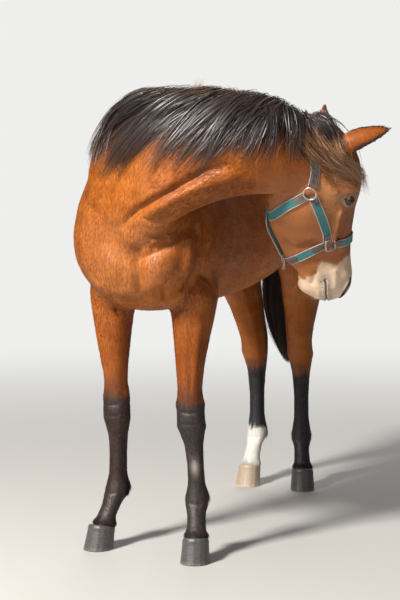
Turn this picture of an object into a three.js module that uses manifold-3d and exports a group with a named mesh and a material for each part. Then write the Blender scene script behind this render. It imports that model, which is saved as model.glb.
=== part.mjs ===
// A young bay horse in a webbing halter, standing square with its neck bent round to its left and
// its head hanging. Millimetres, +Z up; the horse faces -Y and its left side is +X. While it is
// modelled, the origin is on the ground between the fore feet; at the end the whole group is moved
// so that the origin is the middle of the floor under it.
//
// Flesh is made of sleeves: closed tubes whose rings follow a few stations. They are joined into
// one body, which is then parted by thin cuts where a person would name its parts.

import * as THREE from 'three';
import { mergeVertices } from 'three/addons/utils/BufferGeometryUtils.js';
import Module from 'manifold-3d';

const wasm = await Module();
wasm.setup();

// ---- Driving dimensions ----------------------------------------------------------------------

const WITHERS = 1500; // height at the withers
const K = WITHERS / 1500; // every length below is written for a horse of 1500 and scaled by this
const GAP = 0.3; // clearance between pieces that touch
const CORONET = 78 * K; // height of the top of a hoof
const MIDLINE = -20; // the forehand's middle, a little to the right of the feet's

const POLL = [628 * K, -45 * K, 1424 * K]; // top joint of the neck, origin of the head
const HEAD_LENGTH = 612 * K; // poll to lips
const HEAD_TURN = { yaw: 124, nod: -6.5, lean: -22 }; // degrees, from facing straight ahead
const EAR_LENGTH = 190 * K;
const EYE_RADIUS = 21 * K;
const EYE = [77 * K, -47 * K, -216 * K]; // left eye's centre on the head

const STRAP = { width: 26 * K, across: 1, thickness: 5 * K, slack: 10 * K }; // halter webbing, doubled and stitched
const RING = { radius: 20 * K, wire: 3.4 * K, lift: 12 * K }; // round halter ring
const SQUARE = { radius: 23 * K, wire: 3.2 * K }; // square ring, to its corners
const CHIN_RING = { radius: 15 * K, wire: 3 * K };

const COLOURS = {
  bay: 0xb8651f,
  points: 0x3b2f2c,
  hair: 0x2b2422,
  muzzle: 0xd9c3ae,
  hoof: 0x4a4642,
  eye: 0x1c120c,
  webbing: 0x3f8f93,
  steel: 0x9a9a98,
};

// ---- Helpers: numbers ------------------------------------------------------------------------

const deg = THREE.MathUtils.degToRad;

function catmullRom(f, a, b, c, d) {
  const slopeIn = (c - a) / 2;
  const slopeOut = (d - b) / 2;
  const rise = b - c;
  return b + f * (slopeIn + f * (-3 * rise - 2 * slopeIn - slopeOut + f * (2 * rise + slopeIn + slopeOut)));
}

// Every number of the stations, at t = 0 on the first and t = 1 on the last.
function between(stations, t) {
  const last = stations.length - 1;
  const run = t * last;
  const first = Math.min(Math.floor(run), last - 1);
  const near = (k) => stations[Math.min(Math.max(first + k, 0), last)];
  const now = {};
  for (const key of Object.keys(stations[0])) {
    now[key] = catmullRom(run - first, near(-1)[key], near(0)[key], near(1)[key], near(2)[key]);
  }
  return now;
}

// Point of a superellipse: (side, fore) for an angle from the fore direction towards the side.
function rounded(angle, power) {
  const side = Math.sin(angle);
  const fore = Math.cos(angle);
  return [
    Math.sign(side) * Math.abs(side) ** (2 / power),
    Math.sign(fore) * Math.abs(fore) ** (2 / power),
  ];
}

// ---- Helpers: solids -------------------------------------------------------------------------

function toSolid(geometry) {
  const bare = geometry.clone();
  bare.deleteAttribute('normal');
  bare.deleteAttribute('uv');
  const merged = mergeVertices(bare, 1e-3);
  const index = [];
  const raw = merged.index.array;
  for (let i = 0; i < raw.length; i += 3) {
    const [a, b, c] = [raw[i], raw[i + 1], raw[i + 2]];
    if (a !== b && b !== c && c !== a) index.push(a, b, c);
  }
  const points = merged.attributes.position.array;
  const mesh = (order) => new wasm.Mesh({
    numProp: 3,
    vertProperties: new Float32Array(points),
    triVerts: new Uint32Array(order),
  });
  const solid = new wasm.Manifold(mesh(index));
  return solid.volume() > 0 ? solid : new wasm.Manifold(mesh(index.reverse()));
}

function toGeometry(solid) {
  const mesh = solid.getMesh();
  const geometry = new THREE.BufferGeometry();
  geometry.setAttribute('position', new THREE.BufferAttribute(new Float32Array(mesh.vertProperties), 3));
  geometry.setIndex(new THREE.BufferAttribute(new Uint32Array(mesh.triVerts), 1));
  geometry.computeVertexNormals();
  return geometry;
}

const union = (solids) => solids.reduce((all, next) => all.add(next));

// The largest separate body of a solid, so that no crumb of a cut stays.
function whole(solid) {
  return solid.decompose().reduce((best, next) => (next.volume() > best.volume() ? next : best));
}

// Bends a unit cylinder: place(angle, run, reach) gives each point, with run from 0 to 1 along it
// and reach 1 on the wall and 0 at the middle of an end.
function sleeve(sides, steps, place) {
  const tube = new THREE.CylinderGeometry(1, 1, 1, sides, steps);
  const position = tube.attributes.position;
  for (let i = 0; i < position.count; i += 1) {
    const x = position.getX(i);
    const z = position.getZ(i);
    const reach = Math.hypot(x, z) > 0.5 ? 1 : 0;
    position.setXYZ(i, ...place(Math.atan2(x, z), position.getY(i) + 0.5, reach));
  }
  return toSolid(tube);
}

// Bends a unit box: place(along, across, through), each from 0 to 1.
function slab(along, across, place) {
  const box = new THREE.BoxGeometry(1, 1, 1, along, across, 1);
  const position = box.attributes.position;
  for (let i = 0; i < position.count; i += 1) {
    position.setXYZ(i, ...place(position.getX(i) + 0.5, position.getY(i) + 0.5, position.getZ(i) + 0.5));
  }
  return toSolid(box);
}

// A muscle lifts the skin round a place: each is [centre, reach along x, y and z, rise].
function muscled(point, outward, muscles) {
  let rise = 0;
  for (const [at, reach, lift] of muscles) {
    const far = at.reduce((sum, value, k) => sum + ((point[k] - value * K) / (reach[k] * K)) ** 2, 0);
    rise += lift * K * Math.exp(-far);
  }
  return point.map((value, k) => value + outward[k] * rise);
}

// The half space on the far side of a plane through a point, as a large box.
function beyond(point, normal) {
  const size = 6000;
  const box = new THREE.BoxGeometry(size, size, size);
  box.translate(0, 0, size / 2);
  const turn = new THREE.Quaternion().setFromUnitVectors(
    new THREE.Vector3(0, 0, 1),
    new THREE.Vector3(...normal).normalize(),
  );
  box.applyQuaternion(turn);
  box.translate(...point);
  return toSolid(box);
}

// ---- Trunk -----------------------------------------------------------------------------------

// y: place along the back; top, low: topline and underline; wide: height of the widest level;
// half: half width; shift: sideways offset, as the quarters swing a little to the right;
// ridge: how much the upper half narrows towards the spine; keel: the same for the lower half.
const TRUNK = [
  { y: -226, top: 1170, low: 960, wide: 1060, half: 90, shift: 4, ridge: 0.1, keel: 0.1 },
  { y: -190, top: 1250, low: 890, wide: 1050, half: 172, shift: 0, ridge: 0.1, keel: 0.1 },
  { y: -112, top: 1330, low: 838, wide: 1045, half: 226, shift: -12, ridge: 0.1, keel: 0.1 },
  { y: -20, top: 1398, low: 815, wide: 1045, half: 248, shift: -24, ridge: 0.2, keel: 0.14 },
  { y: 90, top: 1470, low: 808, wide: 1050, half: 250, shift: -28, ridge: 0.36, keel: 0.18 },
  { y: 215, top: 1498, low: 806, wide: 1050, half: 248, shift: -26, ridge: 0.55, keel: 0.2 },
  { y: 350, top: 1472, low: 808, wide: 1050, half: 256, shift: -24, ridge: 0.5, keel: 0.18 },
  { y: 500, top: 1432, low: 814, wide: 1060, half: 276, shift: -22, ridge: 0.3, keel: 0.14 },
  { y: 660, top: 1416, low: 830, wide: 1080, half: 286, shift: -26, ridge: 0.22, keel: 0.12 },
  { y: 810, top: 1424, low: 866, wide: 1110, half: 278, shift: -30, ridge: 0.2, keel: 0.12 },
  { y: 940, top: 1454, low: 908, wide: 1140, half: 264, shift: -36, ridge: 0.26, keel: 0.15 },
  { y: 1060, top: 1480, low: 935, wide: 1160, half: 262, shift: -40, ridge: 0.36, keel: 0.2 },
  { y: 1180, top: 1464, low: 955, wide: 1160, half: 252, shift: -44, ridge: 0.34, keel: 0.2 },
  { y: 1290, top: 1416, low: 985, wide: 1150, half: 222, shift: -44, ridge: 0.3, keel: 0.2 },
  { y: 1364, top: 1352, low: 1020, wide: 1140, half: 168, shift: -44, ridge: 0.2, keel: 0.1 },
  { y: 1404, top: 1300, low: 1080, wide: 1150, half: 96, shift: -44, ridge: 0, keel: 0 },
];

const TRUNK_MUSCLES = [
  [[-82, -165, 955], [66, 70, 66], 30], // right pectoral lobe
  [[84, -165, 955], [66, 70, 66], 30], // left pectoral lobe
  [[2, -220, 912], [15, 60, 66], -28], // crease between them
  [[-10, -225, 1170], [150, 60, 90], 26], // root of the neck, filling down into the chest
  [[-228, -60, 1070], [70, 80, 120], 16], // right point of the shoulder
  [[188, -60, 1070], [70, 80, 120], 14], // left point of the shoulder
  [[-262, 130, 1010], [60, 130, 120], 16], // right triceps
  [[206, 130, 1010], [60, 130, 120], 16], // left triceps
  [[-232, 40, 1270], [60, 90, 150], 20], // right shoulder blade
  [[176, 40, 1270], [60, 90, 150], 8], // left shoulder blade
  [[-272, 275, 1080], [50, 70, 170], -12], // hollow behind the right shoulder
  [[222, 275, 1080], [50, 70, 170], -12], // hollow behind the left shoulder
  [[-295, 870, 1200], [60, 90, 100], -26], // right flank hollow
  [[230, 870, 1200], [60, 90, 100], -26], // left flank hollow
  [[-250, 990, 1370], [60, 60, 60], 16], // right point of the hip
  [[170, 990, 1370], [60, 60, 60], 16], // left point of the hip
  [[-28, 790, 830], [34, 80, 60], 30], // sheath
];

function trunkPoint(angle, run, skin) {
  const s = between(TRUNK, run);
  const [side, up] = rounded(angle, 2.15);
  const narrow = 1 - (up > 0 ? s.ridge : s.keel) * up * up;
  const height = up > 0 ? s.top - s.wide : s.wide - s.low;
  const point = [(s.shift + side * narrow * s.half) * K, s.y * K, (s.wide + up * height) * K];
  const blunt = run < 0.12 ? -(0.12 - run) * 6 : Math.max(0, run - 0.9) * 6;
  const outward = new THREE.Vector3(side, blunt, up).normalize().toArray();
  return muscled(point, outward, TRUNK_MUSCLES).map((value, k) => value + outward[k] * skin);
}

function trunkSleeve(skin = 0) {
  return sleeve(21, 16, (angle, run, reach) => {
    if (reach) return trunkPoint(angle, run, skin);
    const end = between(TRUNK, run);
    const bulge = (run < 0.5 ? -10 : 10) * K + Math.sign(run - 0.5) * skin;
    return [end.shift * K, end.y * K + bulge, ((end.top + end.low) / 2) * K];
  });
}

// ---- Neck ------------------------------------------------------------------------------------

// Each station is a point of the crest (cx, cy, cz), the point of the throat under it (ux, uy, uz)
// and a half width. The neck leaves the shoulders straight ahead and sweeps round to the left.
const NECK = [
  { cx: -24, cy: 330, cz: 1400, ux: -16, uy: -10, uz: 960, half: 130, ridge: 0.4, keel: 0.1 },
  { cx: -22, cy: 185, cz: 1484, ux: -10, uy: -110, uz: 965, half: 176, ridge: 0.36, keel: 0.2 },
  { cx: -8, cy: 20, cz: 1506, ux: 0, uy: -166, uz: 985, half: 172, ridge: 0.36, keel: 0.3 },
  { cx: 84, cy: -112, cz: 1520, ux: 70, uy: -228, uz: 1050, half: 140, ridge: 0.46, keel: 0.32 },
  { cx: 236, cy: -190, cz: 1530, ux: 208, uy: -260, uz: 1142, half: 108, ridge: 0.56, keel: 0.28 },
  { cx: 392, cy: -185, cz: 1526, ux: 368, uy: -216, uz: 1206, half: 90, ridge: 0.6, keel: 0.25 },
  { cx: 512, cy: -120, cz: 1500, ux: 486, uy: -130, uz: 1220, half: 82, ridge: 0.5, keel: 0.25 },
  { cx: 600, cy: -56, cz: 1446, ux: 600, uy: -54, uz: 1250, half: 66, ridge: 0.3, keel: 0.25 },
];

const NECK_MUSCLES = [
  [[-20, -260, 1150], [110, 80, 40], 12], // band of muscle along the lower neck, right side
  [[150, -330, 1215], [130, 90, 34], 12], // the same, further along
  [[40, -290, 1250], [150, 90, 24], -10], // groove above that band
  [[-120, -60, 1330], [90, 110, 90], 14], // swell of the neck into the shoulder
];

function neckPoint(angle, run, skin) {
  const s = between(NECK, run);
  const ahead = between(NECK, Math.min(run + 0.01, 1));
  const behind = between(NECK, Math.max(run - 0.01, 0));
  const middle = (n) => new THREE.Vector3((n.cx + n.ux) / 2, (n.cy + n.uy) / 2, (n.cz + n.uz) / 2);
  const crest = new THREE.Vector3(s.cx, s.cy, s.cz);
  const up = crest.clone().sub(middle(s));
  const forward = middle(ahead).sub(middle(behind));
  const left = up.clone().cross(forward).normalize();
  const [side, fore] = rounded(angle, 2.2);
  const narrow = 1 - (fore > 0 ? s.ridge : s.keel) * fore * fore;
  const point = middle(s).addScaledVector(up, fore).addScaledVector(left, side * narrow * s.half);
  const outward = left.multiplyScalar(side).addScaledVector(up.normalize(), fore).normalize();
  const placed = muscled(point.multiplyScalar(K).toArray(), outward.toArray(), NECK_MUSCLES);
  return placed.map((value, k) => value + outward.getComponent(k) * skin);
}

function neckMiddle(run) {
  const s = between(NECK, run);
  return [((s.cx + s.ux) / 2) * K, ((s.cy + s.uy) / 2) * K, ((s.cz + s.uz) / 2) * K];
}

function neckSleeve(skin = 0) {
  return sleeve(20, 16, (angle, run, reach) => (reach ? neckPoint(angle, run, skin) : neckMiddle(run)));
}

// ---- Head, in its own frame: face to -Y, lips down, its left side +X -------------------------

// z: distance below the poll; mid: the widest line, from which front and back are measured;
// half: half width; face, jaw: how much the section narrows to the front and to the back.
const HEAD = [
  { z: 38, mid: 24, front: 22, back: 30, half: 24, face: 0, jaw: 0 },
  { z: 18, mid: 26, front: 54, back: 58, half: 48, face: 0, jaw: 0.1 },
  { z: -28, mid: 30, front: 92, back: 84, half: 70, face: 0, jaw: 0.2 },
  { z: -80, mid: 30, front: 120, back: 120, half: 86, face: 0, jaw: 0.3 },
  { z: -130, mid: 20, front: 126, back: 158, half: 95, face: 0, jaw: 0.32 },
  { z: -175, mid: 6, front: 115, back: 190, half: 98, face: 0.04, jaw: 0.34 },
  { z: -215, mid: 0, front: 108, back: 208, half: 96, face: 0.12, jaw: 0.36 },
  { z: -262, mid: 0, front: 94, back: 214, half: 90, face: 0.25, jaw: 0.4 },
  { z: -312, mid: 2, front: 90, back: 202, half: 80, face: 0.36, jaw: 0.44 },
  { z: -362, mid: 6, front: 88, back: 176, half: 70, face: 0.42, jaw: 0.45 },
  { z: -412, mid: 8, front: 87, back: 152, half: 60, face: 0.4, jaw: 0.42 },
  { z: -462, mid: 10, front: 88, back: 118, half: 54, face: 0.34, jaw: 0.34 },
  { z: -507, mid: 8, front: 92, back: 96, half: 55, face: 0.26, jaw: 0.3 },
  { z: -548, mid: 4, front: 86, back: 84, half: 55, face: 0.2, jaw: 0.28 },
  { z: -582, mid: 2, front: 66, back: 68, half: 46, face: 0.14, jaw: 0.2 },
  { z: -603, mid: 2, front: 34, back: 36, half: 28, face: 0, jaw: 0 },
];

const HEAD_MUSCLES = [
  [[0, 92, -545], [44, 26, 30], 12], // chin
  [[0, 88, -490], [40, 26, 24], -8], // chin groove
  [[0, -80, -105], [60, 50, 70], 7], // forehead
  ...[-1, 1].flatMap((side) => [
    [[side * 100, -49, -182], [34, 34, 24], 11], // bony arch over the eye
    [[side * 92, -40, -118], [30, 34, 26], -12], // hollow above the eye
    [[side * 92, -52, -238], [30, 30, 22], -6], // hollow under the eye
    [[side * 90, -22, -290], [26, 20, 60], 8], // facial crest
    [[side * 84, 110, -215], [34, 78, 78], 12], // cheek
    [[side * 62, 30, -400], [26, 60, 60], -7], // slack of the cheek ahead of it
    [[side * 46, -40, -522], [24, 28, 34], 11], // nostril
    [[side * 52, 62, -150], [30, 30, 40], -8], // hollow behind the jaw
  ]),
];

function headPoint(angle, run, skin) {
  const s = between(HEAD, run);
  const [side, fore] = rounded(angle, 2.35);
  const narrow = 1 - (fore > 0 ? s.face : s.jaw) * fore * fore;
  const y = s.mid - fore * (fore > 0 ? s.front : s.back);
  const point = [side * narrow * s.half * K, y * K, s.z * K];
  const blunt = run < 0.15 ? (0.15 - run) * 5 : -Math.max(0, run - 0.88) * 7;
  const outward = new THREE.Vector3(side, -fore, blunt).normalize().toArray();
  return muscled(point, outward, HEAD_MUSCLES).map((value, k) => value + outward[k] * skin);
}

function headSleeve(skin = 0) {
  return sleeve(20, 21, (angle, run, reach) => {
    if (reach) return headPoint(angle, run, skin);
    const end = between(HEAD, run);
    return [0, (end.mid + (end.back - end.front) / 2) * K, end.z * K + (run < 0.5 ? 8 : -6) * K];
  });
}

const headFrame = new THREE.Matrix4().compose(
  new THREE.Vector3(...POLL),
  new THREE.Quaternion().setFromEuler(
    new THREE.Euler(deg(HEAD_TURN.nod), deg(HEAD_TURN.lean), deg(HEAD_TURN.yaw), 'ZXY'),
  ),
  new THREE.Vector3(1, 1, 1).multiplyScalar(HEAD_LENGTH / (612 * K)),
);

const onHead = (solid) => solid.transform(headFrame.elements);

// A point and a direction of the head's frame, in the horse's.
const headSpot = (p) => new THREE.Vector3(...p).multiplyScalar(K).applyMatrix4(headFrame).toArray();
const headWay = (p) => new THREE.Vector3(...p).transformDirection(headFrame).toArray();

// ---- Ears ------------------------------------------------------------------------------------

// root: on the head; tip and opening: where it points and faces, as seen on the standing horse.
// The right ear is pricked forward, the left one turned out to the side.
const EAR_RIGHT = { root: [-54, -34, -44], tip: [0.88, 0.3, 0.36], opening: [-0.3, 0.7, -0.6] };
const EAR_LEFT = { root: [50, -22, -30], tip: [-0.37, 0.79, 0.49], opening: [0.8, 0.5, -0.1] };

// A funnel of gristle: round at the root, open along one side, and drawn to a point.
function ear({ root, tip, opening }, skin = 0) {
  const profile = (t) => (Math.sin(Math.PI * (0.2 + 0.8 * t) ** 0.85) ** 0.7 * 38 + 2 * (1 - t)) * K;
  const cup = sleeve(11, 6, (angle, run, reach) => {
    const width = profile(run) + skin;
    const dent = 0.95 * Math.exp(-((angle / 0.95) ** 2)) * Math.min(1, run * 2.5);
    const depth = width * (0.98 - 0.4 * run);
    const x = reach * Math.sin(angle) * width;
    const y = -reach * Math.cos(angle) * depth + dent * depth * reach * 1.25;
    return [x, y + 10 * K * Math.sin(run * Math.PI), (run - 0.1) * (EAR_LENGTH + 2 * skin)];
  });
  const length = new THREE.Vector3(...tip).normalize();
  const across = length.clone().cross(new THREE.Vector3(...opening)).normalize();
  const back = length.clone().cross(across);
  const pose = new THREE.Matrix4().makeBasis(across, back, length).setPosition(...headSpot(root));
  return cup.transform(pose.elements);
}

// ---- Legs ------------------------------------------------------------------------------------

// Stations from the top down: z: height; out: sideways from the leg's line, away from the horse;
// fore: forward of the leg's line; a: half width; f, b: half depth to the front and the back.
const FORE_LEG = [
  { z: 1020, out: 6, fore: 0, a: 60, f: 78, b: 98 },
  { z: 950, out: 8, fore: -6, a: 70, f: 92, b: 118 },
  { z: 880, out: 13, fore: -4, a: 84, f: 92, b: 110 },
  { z: 800, out: 12, fore: 0, a: 75, f: 78, b: 84 },
  { z: 720, out: 8, fore: 2, a: 62, f: 66, b: 66 },
  { z: 640, out: 3, fore: 2, a: 51, f: 54, b: 53 },
  { z: 565, out: 0, fore: 2, a: 44, f: 46, b: 47 },
  { z: 505, out: 0, fore: 4, a: 49, f: 46, b: 48 },
  { z: 458, out: 0, fore: 6, a: 52, f: 46, b: 48 },
  { z: 415, out: 0, fore: 4, a: 46, f: 40, b: 46 },
  { z: 375, out: 1, fore: 0, a: 35, f: 34, b: 44 },
  { z: 310, out: 3, fore: 0, a: 31, f: 32, b: 42 },
  { z: 245, out: 5, fore: 0, a: 32, f: 33, b: 44 },
  { z: 205, out: 6, fore: 4, a: 41, f: 38, b: 50 },
  { z: 175, out: 7, fore: 12, a: 43, f: 40, b: 52 },
  { z: 142, out: 9, fore: 32, a: 36, f: 35, b: 40 },
  { z: 110, out: 12, fore: 54, a: 35, f: 35, b: 39 },
  { z: 84, out: 14, fore: 70, a: 40, f: 43, b: 47 },
  { z: 60, out: 14, fore: 78, a: 41, f: 44, b: 48 },
];

const HIND_LEG = [
  { z: 1290, out: 30, fore: 150, a: 50, f: 80, b: 110 },
  { z: 1190, out: 52, fore: 148, a: 78, f: 130, b: 190 },
  { z: 1080, out: 64, fore: 152, a: 98, f: 162, b: 234 },
  { z: 970, out: 64, fore: 160, a: 98, f: 162, b: 228 },
  { z: 880, out: 50, fore: 154, a: 88, f: 144, b: 198 },
  { z: 790, out: 30, fore: 124, a: 74, f: 114, b: 144 },
  { z: 710, out: 15, fore: 90, a: 64, f: 90, b: 110 },
  { z: 640, out: 6, fore: 66, a: 57, f: 80, b: 98 },
  { z: 590, out: 0, fore: 48, a: 53, f: 76, b: 96 },
  { z: 540, out: 0, fore: 32, a: 51, f: 68, b: 84 },
  { z: 490, out: 0, fore: 18, a: 46, f: 55, b: 64 },
  { z: 435, out: 0, fore: 8, a: 37, f: 41, b: 52 },
  { z: 360, out: 0, fore: 2, a: 32, f: 36, b: 47 },
  { z: 275, out: 0, fore: 0, a: 32, f: 36, b: 47 },
  { z: 220, out: 0, fore: 2, a: 40, f: 39, b: 51 },
  { z: 186, out: 1, fore: 10, a: 42, f: 40, b: 52 },
  { z: 148, out: 2, fore: 32, a: 35, f: 35, b: 40 },
  { z: 112, out: 4, fore: 52, a: 34, f: 35, b: 39 },
  { z: 84, out: 6, fore: 64, a: 39, f: 43, b: 46 },
  { z: 60, out: 6, fore: 72, a: 40, f: 43, b: 47 },
];

const PASTERN_TOP = 260; // below this, forward is the way the foot points

// side: 1 left, -1 right; x, y: the leg's line; toe: degrees the foot turns outwards;
// splay: how far the foot stands outside the line of the knee.
const LEGS = {
  fore_left: { stations: FORE_LEG, side: 1, x: 130, y: 4, toe: 16, splay: 21, turnFrom: 640 },
  fore_right: { stations: FORE_LEG, side: -1, x: -168, y: 58, toe: 9, splay: -8, turnFrom: 640 },
  hind_left: { stations: HIND_LEG, side: 1, x: 52, y: 1282, toe: 21, splay: -14, turnFrom: 780 },
  hind_right: { stations: HIND_LEG, side: -1, x: -146, y: 1284, toe: -4, splay: 6, turnFrom: 780 },
};

// Ring of a leg at a height: its centre and the directions of its side and its front.
function legRing(leg, s) {
  const turned = THREE.MathUtils.smoothstep(leg.turnFrom - s.z, 0, 260);
  const turn = deg(leg.toe * turned) * leg.side;
  const ahead = [Math.sin(turn), -Math.cos(turn)];
  const left = [Math.cos(turn), Math.sin(turn)];
  const splay = leg.splay * THREE.MathUtils.smoothstep(leg.turnFrom - s.z, 0, 420);
  const out = (s.out + splay) * leg.side;
  const straight = s.z > PASTERN_TOP ? [0, -1] : ahead;
  return {
    x: (leg.x + out + straight[0] * s.fore) * K,
    y: (leg.y + straight[1] * s.fore) * K,
    ahead,
    left,
  };
}

function legPoint(leg, s, angle, reach, skin) {
  const ring = legRing(leg, s);
  const [side, fore] = rounded(angle, 2.1);
  const across = reach * side * (s.a * K + skin);
  const along = reach * fore * ((fore > 0 ? s.f : s.b) * K + skin);
  return [
    ring.x + ring.left[0] * across + ring.ahead[0] * along,
    ring.y + ring.left[1] * across + ring.ahead[1] * along,
    s.z * K,
  ];
}

function legSleeve(leg, skin = 0) {
  return sleeve(9, leg.stations.length - 1, (angle, run, reach) => (
    legPoint(leg, between(leg.stations, 1 - run), angle, reach, skin)
  ));
}

// ---- Hooves ----------------------------------------------------------------------------------

const HOOF = { flare: 0.15, toe: 22, slope: 0.2 }; // widening to the sole, reach of the toe, rise

// A hoof is a slanted cone of horn from a flat sole to the coronet, longer at the toe.
function hoof(leg) {
  const foot = leg.stations[leg.stations.length - 1];
  const ring = legRing(leg, foot);
  return sleeve(14, 3, (angle, run, reach) => {
    const [side, fore] = rounded(angle, 2.2);
    const spread = 1 + HOOF.flare * (1 - run);
    const across = reach * side * foot.a * 1.04 * spread;
    const along = reach * fore * (fore > 0 ? foot.f * 1.06 : foot.b * 0.92) * spread + HOOF.toe * (1 - run);
    const slope = HOOF.slope * along * run;
    return [
      ring.x + (ring.left[0] * across + ring.ahead[0] * along) * K,
      ring.y + (ring.left[1] * across + ring.ahead[1] * along) * K,
      run * (CORONET + slope * K),
    ];
  });
}

// The leg above the sloping top of its hoof.
function legAboveHoof(leg) {
  const ring = legRing(leg, leg.stations[leg.stations.length - 1]);
  const normal = [ring.ahead[0] * HOOF.slope, ring.ahead[1] * HOOF.slope, -1];
  return legSleeve(leg).subtract(beyond([ring.x, ring.y, CORONET + GAP], normal));
}

// ---- Tail ------------------------------------------------------------------------------------

const TAIL = [
  { x: -44, y: 1352, z: 1362, a: 22, d: 20 },
  { x: -44, y: 1402, z: 1340, a: 27, d: 25 },
  { x: -48, y: 1438, z: 1284, a: 33, d: 29 },
  { x: -60, y: 1452, z: 1180, a: 42, d: 35 },
  { x: -82, y: 1448, z: 1040, a: 54, d: 42 },
  { x: -104, y: 1430, z: 890, a: 62, d: 46 },
  { x: -112, y: 1404, z: 740, a: 60, d: 44 },
  { x: -92, y: 1382, z: 610, a: 46, d: 35 },
  { x: -58, y: 1372, z: 510, a: 26, d: 20 },
  { x: -44, y: 1370, z: 470, a: 9, d: 8 },
];

function tailSleeve(skin = 0) {
  return sleeve(9, 12, (angle, run, reach) => {
    const s = between(TAIL, 1 - run);
    const ahead = between(TAIL, Math.min(1, 1.01 - run));
    const behind = between(TAIL, Math.max(0, 0.99 - run));
    const forward = new THREE.Vector3(ahead.x - behind.x, ahead.y - behind.y, ahead.z - behind.z).normalize();
    const left = new THREE.Vector3(1, 0, 0).cross(forward).cross(forward).negate().normalize();
    const back = left.clone().cross(forward);
    const ripple = 1 + 0.1 * Math.sin(angle * 4 + run * 9) * (1 - run);
    return new THREE.Vector3(s.x, s.y, s.z).multiplyScalar(K)
      .addScaledVector(left, reach * Math.sin(angle) * (s.a * K * ripple + skin))
      .addScaledVector(back, reach * Math.cos(angle) * (s.d * K * ripple + skin))
      .toArray();
  });
}

// ---- Mane and forelock -----------------------------------------------------------------------

// The mane falls over the right side of the neck. Along it, each lock's length, slant and lift
// off the neck change; its lower edge is cut into locks.
const MANE = [
  { from: 0.13, length: 0.5, slant: -0.06, lift: 28, crown: 22 },
  { from: 0.23, length: 0.6, slant: -0.12, lift: 40, crown: 16 },
  { from: 0.36, length: 0.62, slant: -0.15, lift: 42, crown: 12 },
  { from: 0.49, length: 0.56, slant: -0.12, lift: 32, crown: 14 },
  { from: 0.62, length: 0.52, slant: -0.05, lift: 26, crown: 22 },
  { from: 0.75, length: 0.54, slant: 0.0, lift: 22, crown: 20 },
  { from: 0.87, length: 0.5, slant: 0.04, lift: 18, crown: 18 },
  { from: 0.95, length: 0.42, slant: 0.03, lift: 14, crown: 16 },
];

function mane(grow = 0) {
  const locks = 11;
  return slab(locks * 2, 4, (along, across, through) => {
    const s = between(MANE, along);
    const lock = Math.abs(Math.sin(along * locks * Math.PI));
    const fall = across * (0.66 + 0.34 * lock);
    const overLeft = -0.07;
    const angle = -Math.PI * (overLeft + (s.length - overLeft) * fall);
    const run = Math.min(s.from + s.slant * fall, 0.995);
    const thin = 1 - 0.7 * across;
    const crown = s.crown * Math.exp(-((angle / 0.38) ** 2));
    const outer = (s.lift * thin * (0.7 + 0.3 * lock) + crown) * K;
    return neckPoint(angle, run, through > 0.5 ? outer + 20 * K + grow : 13 * K - grow);
  });
}

// Hair from between the ears, falling over the forehead and the right temple, and thinning out.
const FORELOCK = [
  { turn: 0, z: 6, tilt: 64, width: 66 },
  { turn: -10, z: -20, tilt: 30, width: 92 },
  { turn: -18, z: -70, tilt: 4, width: 100 },
  { turn: -22, z: -130, tilt: 0, width: 84 },
  { turn: -22, z: -185, tilt: 0, width: 56 },
  { turn: -16, z: -228, tilt: 0, width: 18 },
];

function forelock(grow = 0) {
  return strap(FORELOCK, 9, grow, { across: 4, thickness: 12 * K, slack: 9 * K });
}

// ---- Halter ----------------------------------------------------------------------------------

// Places on the head: turn goes round from the middle of the face (0) over the left side (90) to
// the jaw (180) and back up the right side; z is the height, and tilt raises the way outwards.
const HALTER = {
  square: { turn: 73, z: -372, tilt: 0 },
  round: { turn: 116, z: -166, tilt: 0 },
  throat: { turn: 180, z: -276, tilt: 0 },
  chin: { turn: 180, z: -446, tilt: 0 },
  noseband: [{ turn: 40, z: -380, tilt: 0 }, { turn: 0, z: -384, tilt: 0 }],
  backband: [{ turn: 132, z: -402, tilt: 0 }],
  cheek: [{ turn: 92, z: -280, tilt: 0 }],
  jowl: [{ turn: 150, z: -216, tilt: 0 }],
  underjaw: [{ turn: 180, z: -300, tilt: 0 }, { turn: 180, z: -360, tilt: 0 }, { turn: 180, z: -424, tilt: 0 }],
  crown: [
    { turn: 109, z: -108, tilt: 0 },
    { turn: 112, z: -50, tilt: 8 },
    { turn: 134, z: -20, tilt: 34 },
    { turn: 180, z: -10, tilt: 60 },
  ],
};

const mirrored = ({ turn, z, tilt }) => ({ turn: 360 - turn, z, tilt });
const runTo = (places) => [...places, ...places.slice(0, -1).reverse().map(mirrored)];
const acrossFace = (places) => runTo(places).map((place) => (
  { ...place, turn: place.turn > 180 ? place.turn - 360 : place.turn }
));

// The way outwards at a place of the head, and where it leaves the flesh.
function onCoat({ turn, z, tilt }) {
  const [around, up] = [deg(turn), deg(tilt)];
  const way = new THREE.Vector3(Math.sin(around) * Math.cos(up), -Math.cos(around) * Math.cos(up), Math.sin(up));
  const start = new THREE.Vector3(0, 34 * K, z * K).applyMatrix4(headFrame);
  way.transformDirection(headFrame);
  const hits = new THREE.Raycaster(start, way).intersectObject(coat); // nearest first
  return { at: hits[0].point, way };
}

// A band through places on the coat; slack is the space under it. A place may change its width.
function strap(places, steps, grow = 0, { across: strips, thickness, slack } = STRAP) {
  const lie = (t) => onCoat(between(places, Math.min(Math.max(t, 0), 1)));
  const frames = Array.from({ length: steps + 1 }, (_, i) => {
    const t = i / steps;
    const { at, way } = lie(t);
    const forward = lie(t + 0.02).at.sub(lie(t - 0.02).at).normalize();
    const edge = way.cross(forward).normalize();
    const width = (between(places, t).width ?? STRAP.width / K) * K;
    return { at, edge, width, outward: forward.cross(edge).normalize() };
  });
  return slab(steps, strips, (along, across, through) => {
    const { at, edge, width, outward } = frames[Math.round(along * steps)];
    return at.clone()
      .addScaledVector(outward, slack + through * thickness + (2 * through - 1) * grow)
      .addScaledVector(edge, (across - 0.5) * (width + 2 * grow)).toArray();
  });
}

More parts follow.
